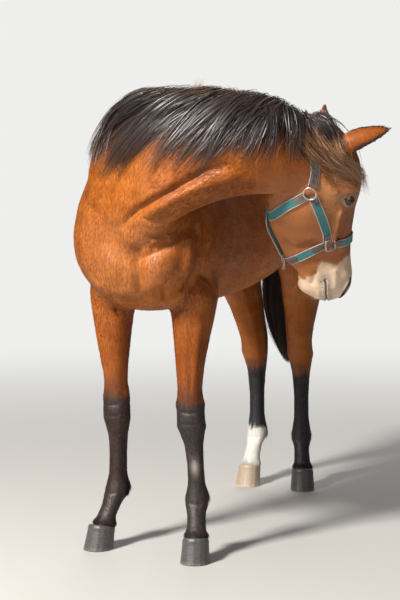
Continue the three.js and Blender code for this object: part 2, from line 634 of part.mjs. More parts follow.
// A wire ring lying on the coat: round with many sides, or square with four.
function wireRing(place, { radius, wire }, sides, grow = 0) {
  const loop = new THREE.TorusGeometry(radius, wire + grow, 5, sides);
  if (sides === 4) loop.rotateZ(Math.PI / 4);
  const { at, way } = onCoat(place);
  const down = new THREE.Vector3(0, 0, -1).transformDirection(headFrame);
  const side = down.clone().cross(way).normalize();
  const basis = new THREE.Matrix4().makeBasis(side, way.clone().cross(side), way);
  loop.applyMatrix4(basis);
  const centre = at.addScaledVector(way, RING.lift);
  return toSolid(loop.translate(centre.x, centre.y, centre.z));
}

// ---- Putting the horse together --------------------------------------------------------------

const legNames = Object.keys(LEGS);

const shifted = (point, normal, by) => point.map((value, k) => value + normal[k] * by);

// Cuts a solid in two along a plane, with the gap between them: [near side, far side].
function part(solid, point, normal) {
  const unit = new THREE.Vector3(...normal).normalize().toArray();
  const back = unit.map((value) => -value);
  return [
    whole(solid.subtract(beyond(shifted(point, unit, -GAP / 2), unit))),
    whole(solid.subtract(beyond(shifted(point, back, -GAP / 2), back))),
  ];
}

const pieces = {};
function keep(name, solid, colour, roughness = 0.7, metalness = 0) {
  pieces[name] = { solid, colour, roughness, metalness };
}

// The space that belongs to a leg: below a sloping cut, on its side, and fore or hind. grow widens
// it by the gap for what it is cut from.
function legSpace(name, grow) {
  const { side } = LEGS[name];
  const cut = name.startsWith('fore')
    ? { point: [(MIDLINE + side * 84) * K, 0, 824 * K], normal: [side * 0.42, 0, -1], end: 240 * K, way: -1 }
    : { point: [0, 900 * K, 845 * K], normal: [0, 0.26, -1], end: 890 * K, way: 1 };
  return beyond(shifted(cut.point, cut.normal, -grow), cut.normal)
    .intersect(beyond([MIDLINE * K - side * grow, 0, 0], [side, 0, 0]))
    .intersect(beyond([0, cut.end - cut.way * grow, 0], [0, cut.way, 0]));
}

function buildFlesh() {
  const headAndNeck = neckSleeve().add(onHead(headSleeve()));
  const [headSolid, neckSolid] = part(headAndNeck, headSpot([0, 118, -70]), headWay([0, 1, 0.42]));
  let body = union([trunkSleeve(), neckSolid, ...legNames.map((name) => legAboveHoof(LEGS[name]))]);
  for (const name of legNames) {
    keep(`leg_${name}`, whole(body.intersect(legSpace(name, 0))), COLOURS.bay);
    body = body.subtract(legSpace(name, GAP));
  }
  const [trunkSide, neckSide] = part(body, [30 * K, -40 * K, 1525 * K], [0.4, -0.75, 0.5]);
  keep('trunk', trunkSide, COLOURS.bay);
  keep('neck', neckSide, COLOURS.bay);
  return headSolid;
}

// What lies on the coat is cut back to the flesh with a clearance, and then to each piece that was
// laid before it, made a little larger.
const CLEAR = 2 * GAP;
const coatWith = (skin) => [neckSleeve(skin), onHead(headSleeve(skin))];
const coatSolid = union(coatWith(0));
const coat = new THREE.Mesh(toGeometry(coatSolid), new THREE.MeshBasicMaterial({ side: THREE.DoubleSide }));
const fleshSpace = union([trunkSleeve(3 * GAP), ...coatWith(3 * GAP)]);
const laid = [];

// make(grow) gives the piece, larger all round by grow.
function lay(name, make, colour, roughness, metalness) {
  let clear = make(0).subtract(fleshSpace).subtract(coatSolid);
  for (const other of laid) clear = clear.subtract(other);
  clear = whole(clear);
  keep(name, clear, colour, roughness, metalness);
  laid.push(make(CLEAR), clear);
}

const SIDES = [['left', 1], ['right', -1]];
let head = buildFlesh();

for (const [name, side] of SIDES) {
  const ball = (grow) => onHead(toSolid(new THREE.SphereGeometry(EYE_RADIUS + grow, 10, 6)
    .translate(side * EYE[0], EYE[1], EYE[2])));
  keep(`eye_${name}`, ball(0), COLOURS.eye, 0.1);
  head = whole(head.subtract(ball(GAP * 2)));
}
keep('head', head, COLOURS.bay);
for (const name of legNames) keep(`hoof_${name}`, hoof(LEGS[name]), COLOURS.hoof, 0.5);

for (const [name, side] of SIDES) {
  lay(`ear_${name}`, (grow) => ear(side > 0 ? EAR_LEFT : EAR_RIGHT, grow), COLOURS.bay);
}

function layHalter() {
  const steel = (name, make) => lay(`halter_${name}`, make, COLOURS.steel, 0.35, 1);
  const webbing = (name, places, steps) => (
    lay(`halter_${name}`, (grow) => strap(places, steps, grow), COLOURS.webbing, 0.85)
  );
  const { square, round, throat, chin, noseband, backband, cheek, jowl, underjaw, crown } = HALTER;
  const sided = Object.entries({ left: (place) => place, right: mirrored });
  for (const [name, place] of sided) {
    steel(`ring_${name}`, (grow) => wireRing(place(round), RING, 12, grow));
    steel(`square_${name}`, (grow) => wireRing(place(square), SQUARE, 4, grow));
  }
  for (const [name, place] of sided) webbing(`cheek_${name}`, [round, ...cheek, square].map(place), 6);
  webbing('noseband', acrossFace([square, ...noseband]), 10);
  webbing('backband', runTo([square, ...backband, chin]), 12);
  webbing('throat', runTo([round, ...jowl, throat]), 12);
  webbing('crown', runTo([round, ...crown]), 16);
  steel('ring_chin', (grow) => wireRing(chin, CHIN_RING, 9, grow));
  webbing('underjaw', underjaw, 8);
}
layHalter();
lay('tail', tailSleeve, COLOURS.hair, 0.6);
lay('mane', mane, COLOURS.hair, 0.6);
lay('forelock', forelock, COLOURS.hair, 0.6);

const animal = new THREE.Group();
for (const [name, { solid, colour, roughness, metalness }] of Object.entries(pieces)) {
  const material = new THREE.MeshStandardMaterial({ color: colour, roughness, metalness });
  const mesh = new THREE.Mesh(toGeometry(solid), material);
  mesh.name = name;
  animal.add(mesh);
}

// The origin goes to the middle of the floor under the horse.
const reach = new THREE.Box3().setFromObject(animal);
const middle = reach.getCenter(new THREE.Vector3());
animal.position.set(-middle.x, -middle.y, -reach.min.z);
const horse = new THREE.Group();
horse.add(animal);

export default horse;
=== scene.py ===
"""A young bay horse in a webbing halter: a still, life-size museum model on a plain floor."""

import math

import bmesh
import bpy
import numpy as np
from mathutils import Matrix, Vector
from mathutils.bvhtree import BVHTree


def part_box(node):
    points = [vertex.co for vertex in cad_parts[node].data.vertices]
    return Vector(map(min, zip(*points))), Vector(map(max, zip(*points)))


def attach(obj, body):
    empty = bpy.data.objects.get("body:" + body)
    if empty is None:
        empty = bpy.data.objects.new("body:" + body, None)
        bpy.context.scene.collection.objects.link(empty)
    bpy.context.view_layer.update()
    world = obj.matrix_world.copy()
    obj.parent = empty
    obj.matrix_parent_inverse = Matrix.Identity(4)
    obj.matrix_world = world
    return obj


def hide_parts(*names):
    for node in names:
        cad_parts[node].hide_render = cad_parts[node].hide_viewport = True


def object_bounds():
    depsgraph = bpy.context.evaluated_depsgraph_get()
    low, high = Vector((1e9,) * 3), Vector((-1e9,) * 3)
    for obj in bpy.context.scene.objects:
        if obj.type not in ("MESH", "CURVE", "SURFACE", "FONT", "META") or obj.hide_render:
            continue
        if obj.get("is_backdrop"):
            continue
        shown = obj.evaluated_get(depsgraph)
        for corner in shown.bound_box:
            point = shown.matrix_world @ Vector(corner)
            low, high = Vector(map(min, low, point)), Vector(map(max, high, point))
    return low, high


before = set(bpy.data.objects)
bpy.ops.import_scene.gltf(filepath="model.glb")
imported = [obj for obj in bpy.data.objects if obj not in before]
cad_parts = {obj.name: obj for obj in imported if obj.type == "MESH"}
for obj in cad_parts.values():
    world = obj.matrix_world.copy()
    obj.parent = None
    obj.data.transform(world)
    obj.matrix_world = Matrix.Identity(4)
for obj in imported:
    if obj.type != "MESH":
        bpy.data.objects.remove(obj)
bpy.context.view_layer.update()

# ---- Camera, floor and light -----------------------------------------------------------------
# A long lens at the height of the withers, ahead of the horse and to its left, looking a little
# down. Big soft lamps stand over a plain pale floor that fades into a pale room.

# The maker's drawing has its origin between the fore feet; the model stands over the middle of
# its own floor plan. Places written in the drawing's millimetres come here through spot().
DRAWN_EYE = Vector((0.68289, 0.00351, 1.20168))  # the middle of the right eye in the drawing
CAMERA_SPOT = (2753, -5802, 1500)
LOOK_DOWN, LOOK_LEFT = 5.75, 24  # degrees
SENSOR, LENS = 36, 116.16
ROOM = (0.86, 0.86, 0.85, 1)
SKY, SKY_LIGHT = (0.93, 0.94, 0.96, 1), 0.17
FLOOR_GREY, FLOOR_HALF = (0.52, 0.515, 0.50, 1), 30
FADE_FROM, FADE_TO = 1.6, 5.5  # how far out the floor turns into the room

eye_low, eye_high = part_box("eye_right")
origin = (eye_low + eye_high) / 2 - DRAWN_EYE
origin.z = 0.0


def spot(x, y, z):
    return Vector((x, y, z)) / 1000 + origin


camera_data = bpy.data.cameras.new("camera")
camera = bpy.data.objects.new("camera", camera_data)
bpy.context.collection.objects.link(camera)
bpy.context.scene.camera = camera
camera.location = spot(*CAMERA_SPOT)
camera.rotation_euler = (math.radians(90 - LOOK_DOWN), 0, math.radians(LOOK_LEFT))
camera_data.sensor_width = SENSOR
camera_data.lens = LENS
camera_data.clip_end = 100


def lamp(name, place, target, size, watts, tint):
    light = bpy.data.lights.new(name, "AREA")
    light.size = size
    light.energy = watts
    light.color = tint
    thing = bpy.data.objects.new(name, light)
    bpy.context.collection.objects.link(thing)
    thing.location = place
    thing.rotation_euler = (Vector(target) - Vector(place)).to_track_quat("-Z", "Y").to_euler()


lamp("key_lamp", (-1.7, -4.9, 4.5), (0, 0, 1.0), 1.0, 720, (1.0, 0.96, 0.90))
lamp("fill_lamp", (4.6, -3.4, 2.4), (0, 0, 0.9), 3.4, 8, (0.94, 0.97, 1.0))
lamp("back_lamp", (-1.6, 4.8, 3.9), (0, 0, 1.0), 3.0, 130, (1.0, 0.99, 0.96))


def wire(tree, source, target):
    tree.links.new(source, target)


def node(tree, kind, values=(), **settings):
    """A new node with its settings, and with a value or another node's output at its inputs."""
    made = tree.nodes.new(kind)
    for name, value in settings.items():
        setattr(made, name, value)
    for name, value in dict(values).items():
        if isinstance(value, bpy.types.NodeSocket):
            wire(tree, value, made.inputs[name])
        else:
            made.inputs[name].default_value = value
    return made


def arithmetic(tree, operation, a, b=0.0):
    return node(tree, "ShaderNodeMath", {0: a, 1: b}, operation=operation).outputs["Value"]


def new_material(name, roughness=0.5):
    material = bpy.data.materials.new(name)
    material.use_nodes = True
    shader = material.node_tree.nodes["Principled BSDF"]
    shader.inputs["Roughness"].default_value = roughness
    return material, material.node_tree, shader


world = bpy.data.worlds.new("studio")
bpy.context.scene.world = world
world.use_nodes = True
tree = world.node_tree
sky = tree.nodes["Background"]
sky.inputs["Color"].default_value = SKY
sky.inputs["Strength"].default_value = SKY_LIGHT
wall = node(tree, "ShaderNodeBackground", {"Color": ROOM})
seen = node(tree, "ShaderNodeLightPath")
either = node(tree, "ShaderNodeMixShader", {
    "Fac": seen.outputs["Is Camera Ray"],
    1: sky.outputs["Background"], 2: wall.outputs["Background"]})
wire(tree, either.outputs["Shader"], tree.nodes["World Output"].inputs["Surface"])

bm = bmesh.new()
bmesh.ops.create_grid(bm, x_segments=1, y_segments=1, size=FLOOR_HALF)
floor_mesh = bpy.data.meshes.new("floor")
bm.to_mesh(floor_mesh)
bm.free()
floor = bpy.data.objects.new("floor", floor_mesh)
bpy.context.collection.objects.link(floor)
floor_paint, tree, paint = new_material("pale floor paint", 0.9)
paint.inputs["Base Color"].default_value = FLOOR_GREY
place = node(tree, "ShaderNodeTexCoord")
far_out = node(tree, "ShaderNodeVectorMath", {0: place.outputs["Object"]}, operation="LENGTH")
fade = node(tree, "ShaderNodeMapRange", {
    "Value": far_out.outputs["Value"], "From Min": FADE_FROM, "From Max": FADE_TO},
    interpolation_type="SMOOTHSTEP")
seen = node(tree, "ShaderNodeLightPath")
far_seen = arithmetic(tree, "MULTIPLY", seen.outputs["Is Camera Ray"], fade.outputs["Result"])
haze = node(tree, "ShaderNodeEmission", {"Color": ROOM})
either = node(tree, "ShaderNodeMixShader", {
    "Fac": far_seen, 1: paint.outputs["BSDF"], 2: haze.outputs["Emission"]})
wire(tree, either.outputs["Shader"], tree.nodes["Material Output"].inputs["Surface"])
floor_mesh.materials.append(floor_paint)
floor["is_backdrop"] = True

bpy.context.scene.view_settings.view_transform = "Standard"

# ---- Skin: shape -----------------------------------------------------------------------------
# One closed hide over trunk, neck, head, ears and legs. It is grown from the solid flesh, its
# facets are rubbed down, and folds, lids, lips, veins and tendons are worked into it.

FLESH = ["trunk", "neck", "head", "ear_left", "ear_right",
         "leg_fore_left", "leg_fore_right", "leg_hind_left", "leg_hind_right"]
FEET = ["fore_left", "fore_right", "hind_left", "hind_right"]
HIDE_GRID = 0.005
COAT_DEPTH = 0.0025
LEG_TUCK = 0.016  # how far a leg goes down inside its hoof
HIDE_FACES = 186000
FAR = 1e6  # given as the place of what isn't on a limb or on the head

# The head's own frame: face to -Y, lips down, left +X, poll at its origin.
head_frame = (
    Matrix.Translation(spot(628, -45, 1424))
    @ Matrix.Rotation(math.radians(124), 4, "Z")
    @ Matrix.Rotation(math.radians(-6.5), 4, "X")
    @ Matrix.Rotation(math.radians(-22), 4, "Y")
)
head_turn = np.array(head_frame.to_3x3())
head_place = np.array(head_frame.translation)


def to_head(points):
    """Millimetres in the head's frame."""
    return (points - head_place) @ head_turn * 1000


def to_drawing(points):
    return (points - np.array(origin)) * 1000


def head_spot(x, y, z):
    return head_frame @ (Vector((x, y, z)) / 1000)


def head_way(x, y, z):
    return (head_frame.to_3x3() @ Vector((x, y, z))).normalized()


def new_object(name, mesh):
    thing = bpy.data.objects.new(name, mesh)
    bpy.context.collection.objects.link(thing)
    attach(thing, "root")
    return thing


def coordinates(mesh):
    places = np.empty(len(mesh.vertices) * 3)
    mesh.vertices.foreach_get("co", places)
    return places.reshape(-1, 3)


def vertex_normals(mesh):
    outward = np.empty(len(mesh.vertices) * 3)
    mesh.vertex_normals.foreach_get("vector", outward)
    return outward.reshape(-1, 3)


def put_back(mesh, places):
    mesh.vertices.foreach_set("co", places.ravel())
    mesh.update()


def smoothstep(low, high, values):
    t = np.clip((values - low) / (high - low), 0, 1)
    return t * t * (3 - 2 * t)


def tree_of(mesh):
    return BVHTree.FromPolygons([vertex.co for vertex in mesh.vertices],
                                [polygon.vertices[:] for polygon in mesh.polygons])


def even_mesh(bm, name, grid):
    """The bmesh's solids grown together into one closed skin of even small faces."""
    block_mesh = bpy.data.meshes.new(name + "_block")
    bm.to_mesh(block_mesh)
    block = bpy.data.objects.new(name + "_block", block_mesh)
    bpy.context.collection.objects.link(block)
    remesh = block.modifiers.new("even grid", "REMESH")
    remesh.mode = "VOXEL"
    remesh.voxel_size = grid
    remesh.adaptivity = 0
    finished = block.evaluated_get(bpy.context.evaluated_depsgraph_get())
    mesh = bpy.data.meshes.new_from_object(finished)
    mesh.name = name
    bpy.data.objects.remove(block)
    return mesh


def thinned(mesh, name, faces):
    """A copy with about so many triangles, fewest where the form is plain."""
    block = bpy.data.objects.new(name + "_block", mesh)
    bpy.context.collection.objects.link(block)
    fewer = block.modifiers.new("fewer faces", "DECIMATE")
    fewer.ratio = min(1.0, faces / sum(len(polygon.vertices) - 2 for polygon in mesh.polygons))
    finished = block.evaluated_get(bpy.context.evaluated_depsgraph_get())
    thin = bpy.data.meshes.new_from_object(finished)
    thin.name = name
    bpy.data.objects.remove(block)
    thin.shade_smooth()
    return thin


def links_of(mesh):
    """Each vertex's neighbours, as one list sorted by vertex, where each begins, and how many."""
    edges = np.empty(len(mesh.edges) * 2, dtype=np.int32)
    mesh.edges.foreach_get("vertices", edges)
    edges = edges.reshape(-1, 2)
    first = np.concatenate([edges[:, 0], edges[:, 1]])
    second = np.concatenate([edges[:, 1], edges[:, 0]])
    order = np.argsort(first, kind="stable")
    starts = np.searchsorted(first[order], np.arange(len(mesh.vertices)))
    count = np.bincount(first, minlength=len(mesh.vertices))
    return second[order], starts, count


def rubbed(points, links, passes):
    """Rubs the form down; passes says how many times at each vertex."""
    second, starts, count = links
    points = points.copy()
    for turn in range(int(math.ceil(passes.max()))):
        middle = np.add.reduceat(points[second], starts, axis=0) / count[:, None]
        step = 0.6 * np.clip(passes - turn, 0, 1)
        points += (middle - points) * step[:, None]
    return points


bm = bmesh.new()
for name in FLESH + ["eye_left", "eye_right"]:
    bm.from_mesh(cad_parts[name].data)
bmesh.ops.remove_doubles(bm, verts=bm.verts, dist=1e-6)
bm.normal_update()
for vertex in bm.verts:
    vertex.co += vertex.normal * 0.0005
# The legs' cut ends are drawn down inside the hooves.
for foot in FEET:
    horn = tree_of(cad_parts["hoof_" + foot].data)
    low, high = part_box("hoof_" + foot)
    middle = (low + high) / 2
    for vertex in bm.verts:
        if vertex.co.z < 0.1 and horn.find_nearest(vertex.co, 0.002)[0]:
            vertex.co.x += (middle.x - vertex.co.x) * 0.08
            vertex.co.y += (middle.y - vertex.co.y) * 0.08
            vertex.co.z -= LEG_TUCK
hide = even_mesh(bm, "hide", HIDE_GRID)
bm.free()

co = coordinates(hide)
drawn = to_drawing(co)
on_head = to_head(co)
# The hide is rubbed down hard over the body, lightly on the head, ears and feet.
height = drawn[:, 2]
legs = smoothstep(960, 760, height)
passes = 75 * (1 - legs) + legs * (12 + 26 * smoothstep(560, 800, height))
of_head = (smoothstep(150, 60, np.abs(on_head[:, 0])) * smoothstep(-20, -90, on_head[:, 2])
           * smoothstep(250, 200, np.abs(on_head[:, 1])))
passes = passes * (1 - of_head) + 13 * of_head
for ear in ("ear_left", "ear_right"):
    low, high = (np.array(corner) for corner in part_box(ear))
    outside = np.linalg.norm(np.maximum(0, np.maximum(low - co, co - high)), axis=1)
    passes = np.minimum(passes, 4 + 400 * outside / 0.05)
put_back(hide, rubbed(co, links_of(hide), passes))

# Lids, nostrils, lips and ears need a finer mesh than the body.
EYE_MIDDLE = np.array([77, -47, -216])  # of the left eye, in the head's frame
NOSTRIL = [(45, -68, -524), (46, -54, -548), (42, -42, -567), (35, -34, -584)]
MOUTH = [(50, 24, -510), (50, 21, -522), (50, 21, -537), (46, 20, -557), (37, 17, -583),
         (20, 10, -600), (0, 6, -606)]


def between(a, b, c, d, f):
    """The place f of the way from b to c on a smooth line that passes through all four."""
    return b + 0.5 * f * (c - a + f * (2 * a - 5 * b + 4 * c - d + f * (3 * b - 3 * c + d - a)))


def line_through(places, parts=6):
    """A smooth line through the places, with so many parts between each two."""
    places = [np.array(place, dtype=float) for place in places]
    finished = []
    for i in range(len(places) - 1):
        a, b, c, d = (places[min(max(i + k, 0), len(places) - 1)] for k in (-1, 0, 1, 2))
        for f in np.arange(parts) / parts:
            finished.append(between(a, b, c, d, f))
    return finished + [places[-1]]


def gap_from(points, line):
    """How far each point is from a line, and how far along it the nearest place is."""
    gap, run = np.full(len(points), 1e9), np.zeros(len(points))
    for k, (a, b) in enumerate(zip(line, line[1:])):
        part = np.clip((points - a) @ (b - a) / ((b - a) @ (b - a)), 0, 1)
        distance = np.linalg.norm(points - a - part[:, None] * (b - a), axis=1)
        closer = distance < gap
        gap[closer] = distance[closer]
        run[closer] = (k + part[closer]) / (len(line) - 1)
    return gap, run


def mirrored(points):
    """The head's places with both halves laid on its left one."""
    return np.abs(points[:, :1]) @ [[1, 0, 0]] + points * [0, 1, 1]


def within_head(on_head, top, half_width=130, half_depth=250, bottom=-650):
    """Which places, in the head's frame, are on the head below a level near the poll."""
    return ((np.abs(on_head[:, 0]) < half_width) & (np.abs(on_head[:, 1]) < half_depth)
            & (on_head[:, 2] < top) & (on_head[:, 2] > bottom))


def split(mesh, marked):
    """Splits every edge with both ends marked in two."""
    bm = bmesh.new()
    bm.from_mesh(mesh)
    edges = [edge for edge in bm.edges if all(marked[end.index] for end in edge.verts)]
    bmesh.ops.subdivide_edges(bm, edges=edges, cuts=1, use_grid_fill=True)
    bm.to_mesh(mesh)
    bm.free()


def fine_places(wide):
    """Marks the hide round the eyes, the nostrils and the lips."""
    half = mirrored(to_head(coordinates(hide)))
    low = np.abs(half - EYE_MIDDLE).max(axis=1)
    near = np.flatnonzero((np.linalg.norm(half, axis=1) < 700) & (half[:, 0] < 140))
    marked = np.zeros(len(half), dtype=bool)
    marked[near] |= low[near] < 30 + wide
    for line in (NOSTRIL, MOUTH):
        marked[near] |= gap_from(half[near], line_through(line))[0] < 8 + wide
    return marked


split(hide, fine_places(18))
split(hide, fine_places(4))
co = coordinates(hide)
co = rubbed(co, links_of(hide), 3.0 * fine_places(20))
put_back(hide, co)
normals = vertex_normals(hide)
co = co - normals * COAT_DEPTH
drawn, on_head = to_drawing(co), to_head(co)
half_head = mirrored(on_head)
half_head[~within_head(on_head, 60, 125, 245, -640)] = FAR

# Each leg has its own frame: outwards, forwards and up from the middle of the leg at that height.
FOOT_TURN = {"fore_left": 16, "fore_right": -9, "hind_left": 21, "hind_right": 4}
LEG_LEVELS = np.arange(76, 830, 20)
leg_middles = {}  # the line up the middle of each leg, found from the whole hide


def on_leg(foot, places):
    """Millimetres from the middle of one leg, outwards and ahead, with the height; far away for
    what isn't on that leg."""
    turn = math.radians(FOOT_TURN[foot])
    low, high = (np.array(corner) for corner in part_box("leg_" + foot))
    side = 1 if foot.endswith("left") else -1
    on = np.all((places[:, :2] > low[:2] - 0.03) & (places[:, :2] < high[:2] + 0.03), axis=1)
    on &= places[:, 2] < 0.84
    out = places @ np.array([math.cos(turn), math.sin(turn), 0]) * 1000 * side
    ahead = places @ np.array([math.sin(turn), -math.cos(turn), 0]) * 1000
    up = places[:, 2] * 1000
    if foot not in leg_middles:
        rings = [np.flatnonzero(on & (np.abs(up - level) < 12)) for level in LEG_LEVELS]
        leg_middles[foot] = [[(values[ring].min() + values[ring].max()) / 2 for ring in rings]
                             for values in (out, ahead)]
    out_middle, ahead_middle = (np.interp(up, LEG_LEVELS, line) for line in leg_middles[foot])
    there = np.stack([out - out_middle, ahead - ahead_middle, up], axis=1)
    there[~on] = FAR
    return there


limbs = {foot: on_leg(foot, co) for foot in FEET}
push = np.zeros(len(co))


def ridge(where, places, width, rise, ends=5, weight=None):
    """Raises the hide along a line through the places, or sinks it where rise is negative."""
    line = line_through(places)
    low, high = np.min(line, axis=0) - 3 * width, np.max(line, axis=0) + 3 * width
    near = np.flatnonzero(np.all((where > low) & (where < high), axis=1))
    gap, run = gap_from(where[near], line)
    fade = smoothstep(0, 1, np.minimum(run, 1 - run) * ends) if ends else 1
    shares = 1 if weight is None else weight[near]
    push[near] += rise * np.exp(-((gap / width) ** 2)) * fade * shares


def swell(where, middle, size, rise, weight=None):
    """Raises a rounded place, or sinks it where rise is negative."""
    off = np.sum(((where - middle) / size) ** 2, axis=1)
    push[:] += rise * np.exp(-np.minimum(off, 50)) * (1 if weight is None else weight)


# Chest and neck: two breast muscles with a crease between them, folds of skin before the arms,
# the groove of the jugular vein over a band of muscle, and wrinkles where the neck is bent.
ridge(drawn, [(54, -228, 1075), (54, -228, 1038), (52, -225, 999), (52, -218, 956),
              (46, -198, 913), (35, -168, 880)], 19, -15)
swell(drawn, (-42, -223, 985), (52, 60, 62), 17)
swell(drawn, (118, -203, 985), (46, 60, 50), 19)
swell(drawn, (40, -240, 1075), (70, 50, 34), 11)
ridge(drawn, [(192, -148, 1132), (169, -186, 1083), (141, -203, 1050), (93, -221, 1022),
              (45, -225, 1002)], 15, -13)
ridge(drawn, [(202, -110, 1122), (211, -106, 1097), (216, -100, 1048), (213, -96, 1009),
              (199, -92, 966), (170, -94, 921), (140, -100, 895)], 15, -19)
ridge(drawn, [(192, -150, 1096), (199, -148, 1050), (194, -146, 1000), (174, -146, 955)], 20, 12)
ridge(drawn, [(-77, -183, 900), (-37, -160, 877), (19, -173, 883), (50, -170, 882),
              (109, -180, 907), (134, -189, 941)], 20, -14)
ridge(drawn, [(-118, -195, 960), (-92, -189, 913), (-105, -114, 866), (-136, 0, 814),
              (-130, 10, 780)], 10, -12)
ridge(drawn, [(-104, -200, 960), (-78, -189, 905), (-92, -124, 858), (-122, -10, 806)], 8, 11)
ridge(drawn, [(222, 8, 850), (222, 4, 896), (216, 0, 924), (203, -34, 944), (184, -62, 942),
              (158, -70, 908), (124, -66, 868)], 12, -18)
swell(drawn, (186, -52, 878), (34, 44, 38), 15)
swell(drawn, (-176, -8, 868), (38, 44, 52), 8)
ridge(drawn, [(150, -176, 960), (132, -176, 920), (115, -150, 890), (91, -97, 860)], 10, -9)
ridge(drawn, [(-10, -243, 1095), (44, -279, 1137), (88, -299, 1170), (136, -310, 1194),
              (184, -317, 1217), (229, -317, 1240), (275, -312, 1265), (322, -304, 1294),
              (361, -293, 1309), (430, -270, 1325)], 14, -19)
ridge(drawn, [(60, -262, 1100), (139, -298, 1168), (205, -310, 1205), (255, -307, 1230),
              (303, -299, 1250), (348, -285, 1262), (392, -269, 1275), (434, -250, 1284)], 20, 9)
ridge(drawn, [(80, -300, 1178), (136, -318, 1212), (184, -322, 1236), (235, -322, 1262)], 16, 5)
WRINKLE, WRINKLE_RISE = 9, 1.5
for places, rise in (
    ([(92, -293, 1154), (124, -284, 1139), (154, -274, 1133), (193, -270, 1146)], -6),
    ([(94, -260, 1099), (118, -236, 1085), (152, -212, 1097), (174, -182, 1109)], -6),
    ([(92, -270, 1120), (121, -252, 1108), (152, -236, 1112)], 5),
    ([(94, -224, 1045), (125, -214, 1061), (154, -199, 1077)], -5),
    ([(104, -236, 1066), (128, -226, 1078), (158, -210, 1090)], 4),
    ([(222, -60, 1160), (220, -73, 1113), (224, -83, 1049), (224, -88, 1000)], -5),
    ([(226, -44, 1160), (225, -50, 1112), (228, -60, 1040)], 5),
    ([(230, -20, 1165), (228, -26, 1111), (231, -40, 1030)], -4),
    ([(226, 20, 1160), (222, 24, 1120), (234, 0, 1050)], 4),
    ([(221, 56, 1150), (221, 46, 1110), (234, 17, 1050)], -3),
):
    ridge(drawn, places, WRINKLE, WRINKLE_RISE * rise)

# Trunk: both sides carry the same forms, placed along the body and up from the ground.
SPINE, BARREL_HALF = -20, 330
flank = drawn * [0, 1, 1]
on_side = smoothstep(0.15, 0.6, np.abs(normals[:, 0])) * smoothstep(0.55, 0.75, co[:, 2])
on_side *= (drawn[:, 2] > 700) * (drawn[:, 1] > -200) * (np.abs(drawn[:, 0] - SPINE) < BARREL_HALF)
for places, width, rise in (
    ([(0, 230, 1420), (0, 110, 1290), (0, -30, 1150)], 26, 5),  # spine of the shoulder blade
    ([(0, 300, 1380), (0, 262, 1250), (0, 215, 1100), (0, 170, 960)], 30, -8),  # behind the arm
    ([(0, 130, 1260), (0, 60, 1170), (0, -40, 1090)], 20, -4),
    ([(0, 240, 1000), (0, 226, 920), (0, 214, 850)], 24, -5),  # girth
    ([(0, 930, 1080), (0, 975, 990), (0, 1020, 900)], 22, 6),  # flank fold
    ([(0, 1370, 1290), (0, 1350, 1150), (0, 1318, 1010), (0, 1285, 880)], 18, -7),  # hamstring
    ([(0, 1120, 1290), (0, 1090, 1150), (0, 1060, 1000)], 34, -5),  # before the thigh muscle
    ([(0, 520, 1420), (0, 760, 1400), (0, 930, 1400)], 26, -4),  # under the loin
    ([(0, 420, 880), (0, 640, 895), (0, 860, 960)], 16, 3),  # milk vein
):
    ridge(flank, places, width, rise, weight=on_side)
RIBS, FIRST_RIB, RIB_GAP = 7, 430, 68
for back in range(FIRST_RIB, FIRST_RIB + RIBS * RIB_GAP, RIB_GAP):
    ridge(flank, [(0, back + 30, 1280), (0, back + 12, 1150), (0, back - 30, 1010)], 15, 1.8,
          weight=on_side)
for middle, size, rise in (
    ((0, 905, 1230), (1, 70, 90), -15),  # hollow before the hip
    ((0, 985, 1395), (1, 42, 34), 13),  # point of the hip
    ((0, 120, 885), (1, 40, 44), 7),  # elbow
    ((0, 1045, 905), (1, 44, 48), 8),  # stifle
    ((0, 1180, 1220), (1, 110, 120), 6),
    ((0, 130, 1120), (1, 80, 90), 6),
):
    swell(flank, middle, size, rise, weight=on_side)
swell(drawn, (-20, 205, 1490), (46, 120, 120), 16)  # withers
swell(drawn, (-160, -100, 1290), (80, 120, 95), 15)  # root of the neck, before the right shoulder
ridge(drawn * [1, 1, 0], [(-20, 960, 0), (-20, 1120, 0), (-22, 1290, 0)], 16, -5,
      weight=smoothstep(0.6, 0.9, normals[:, 2]))

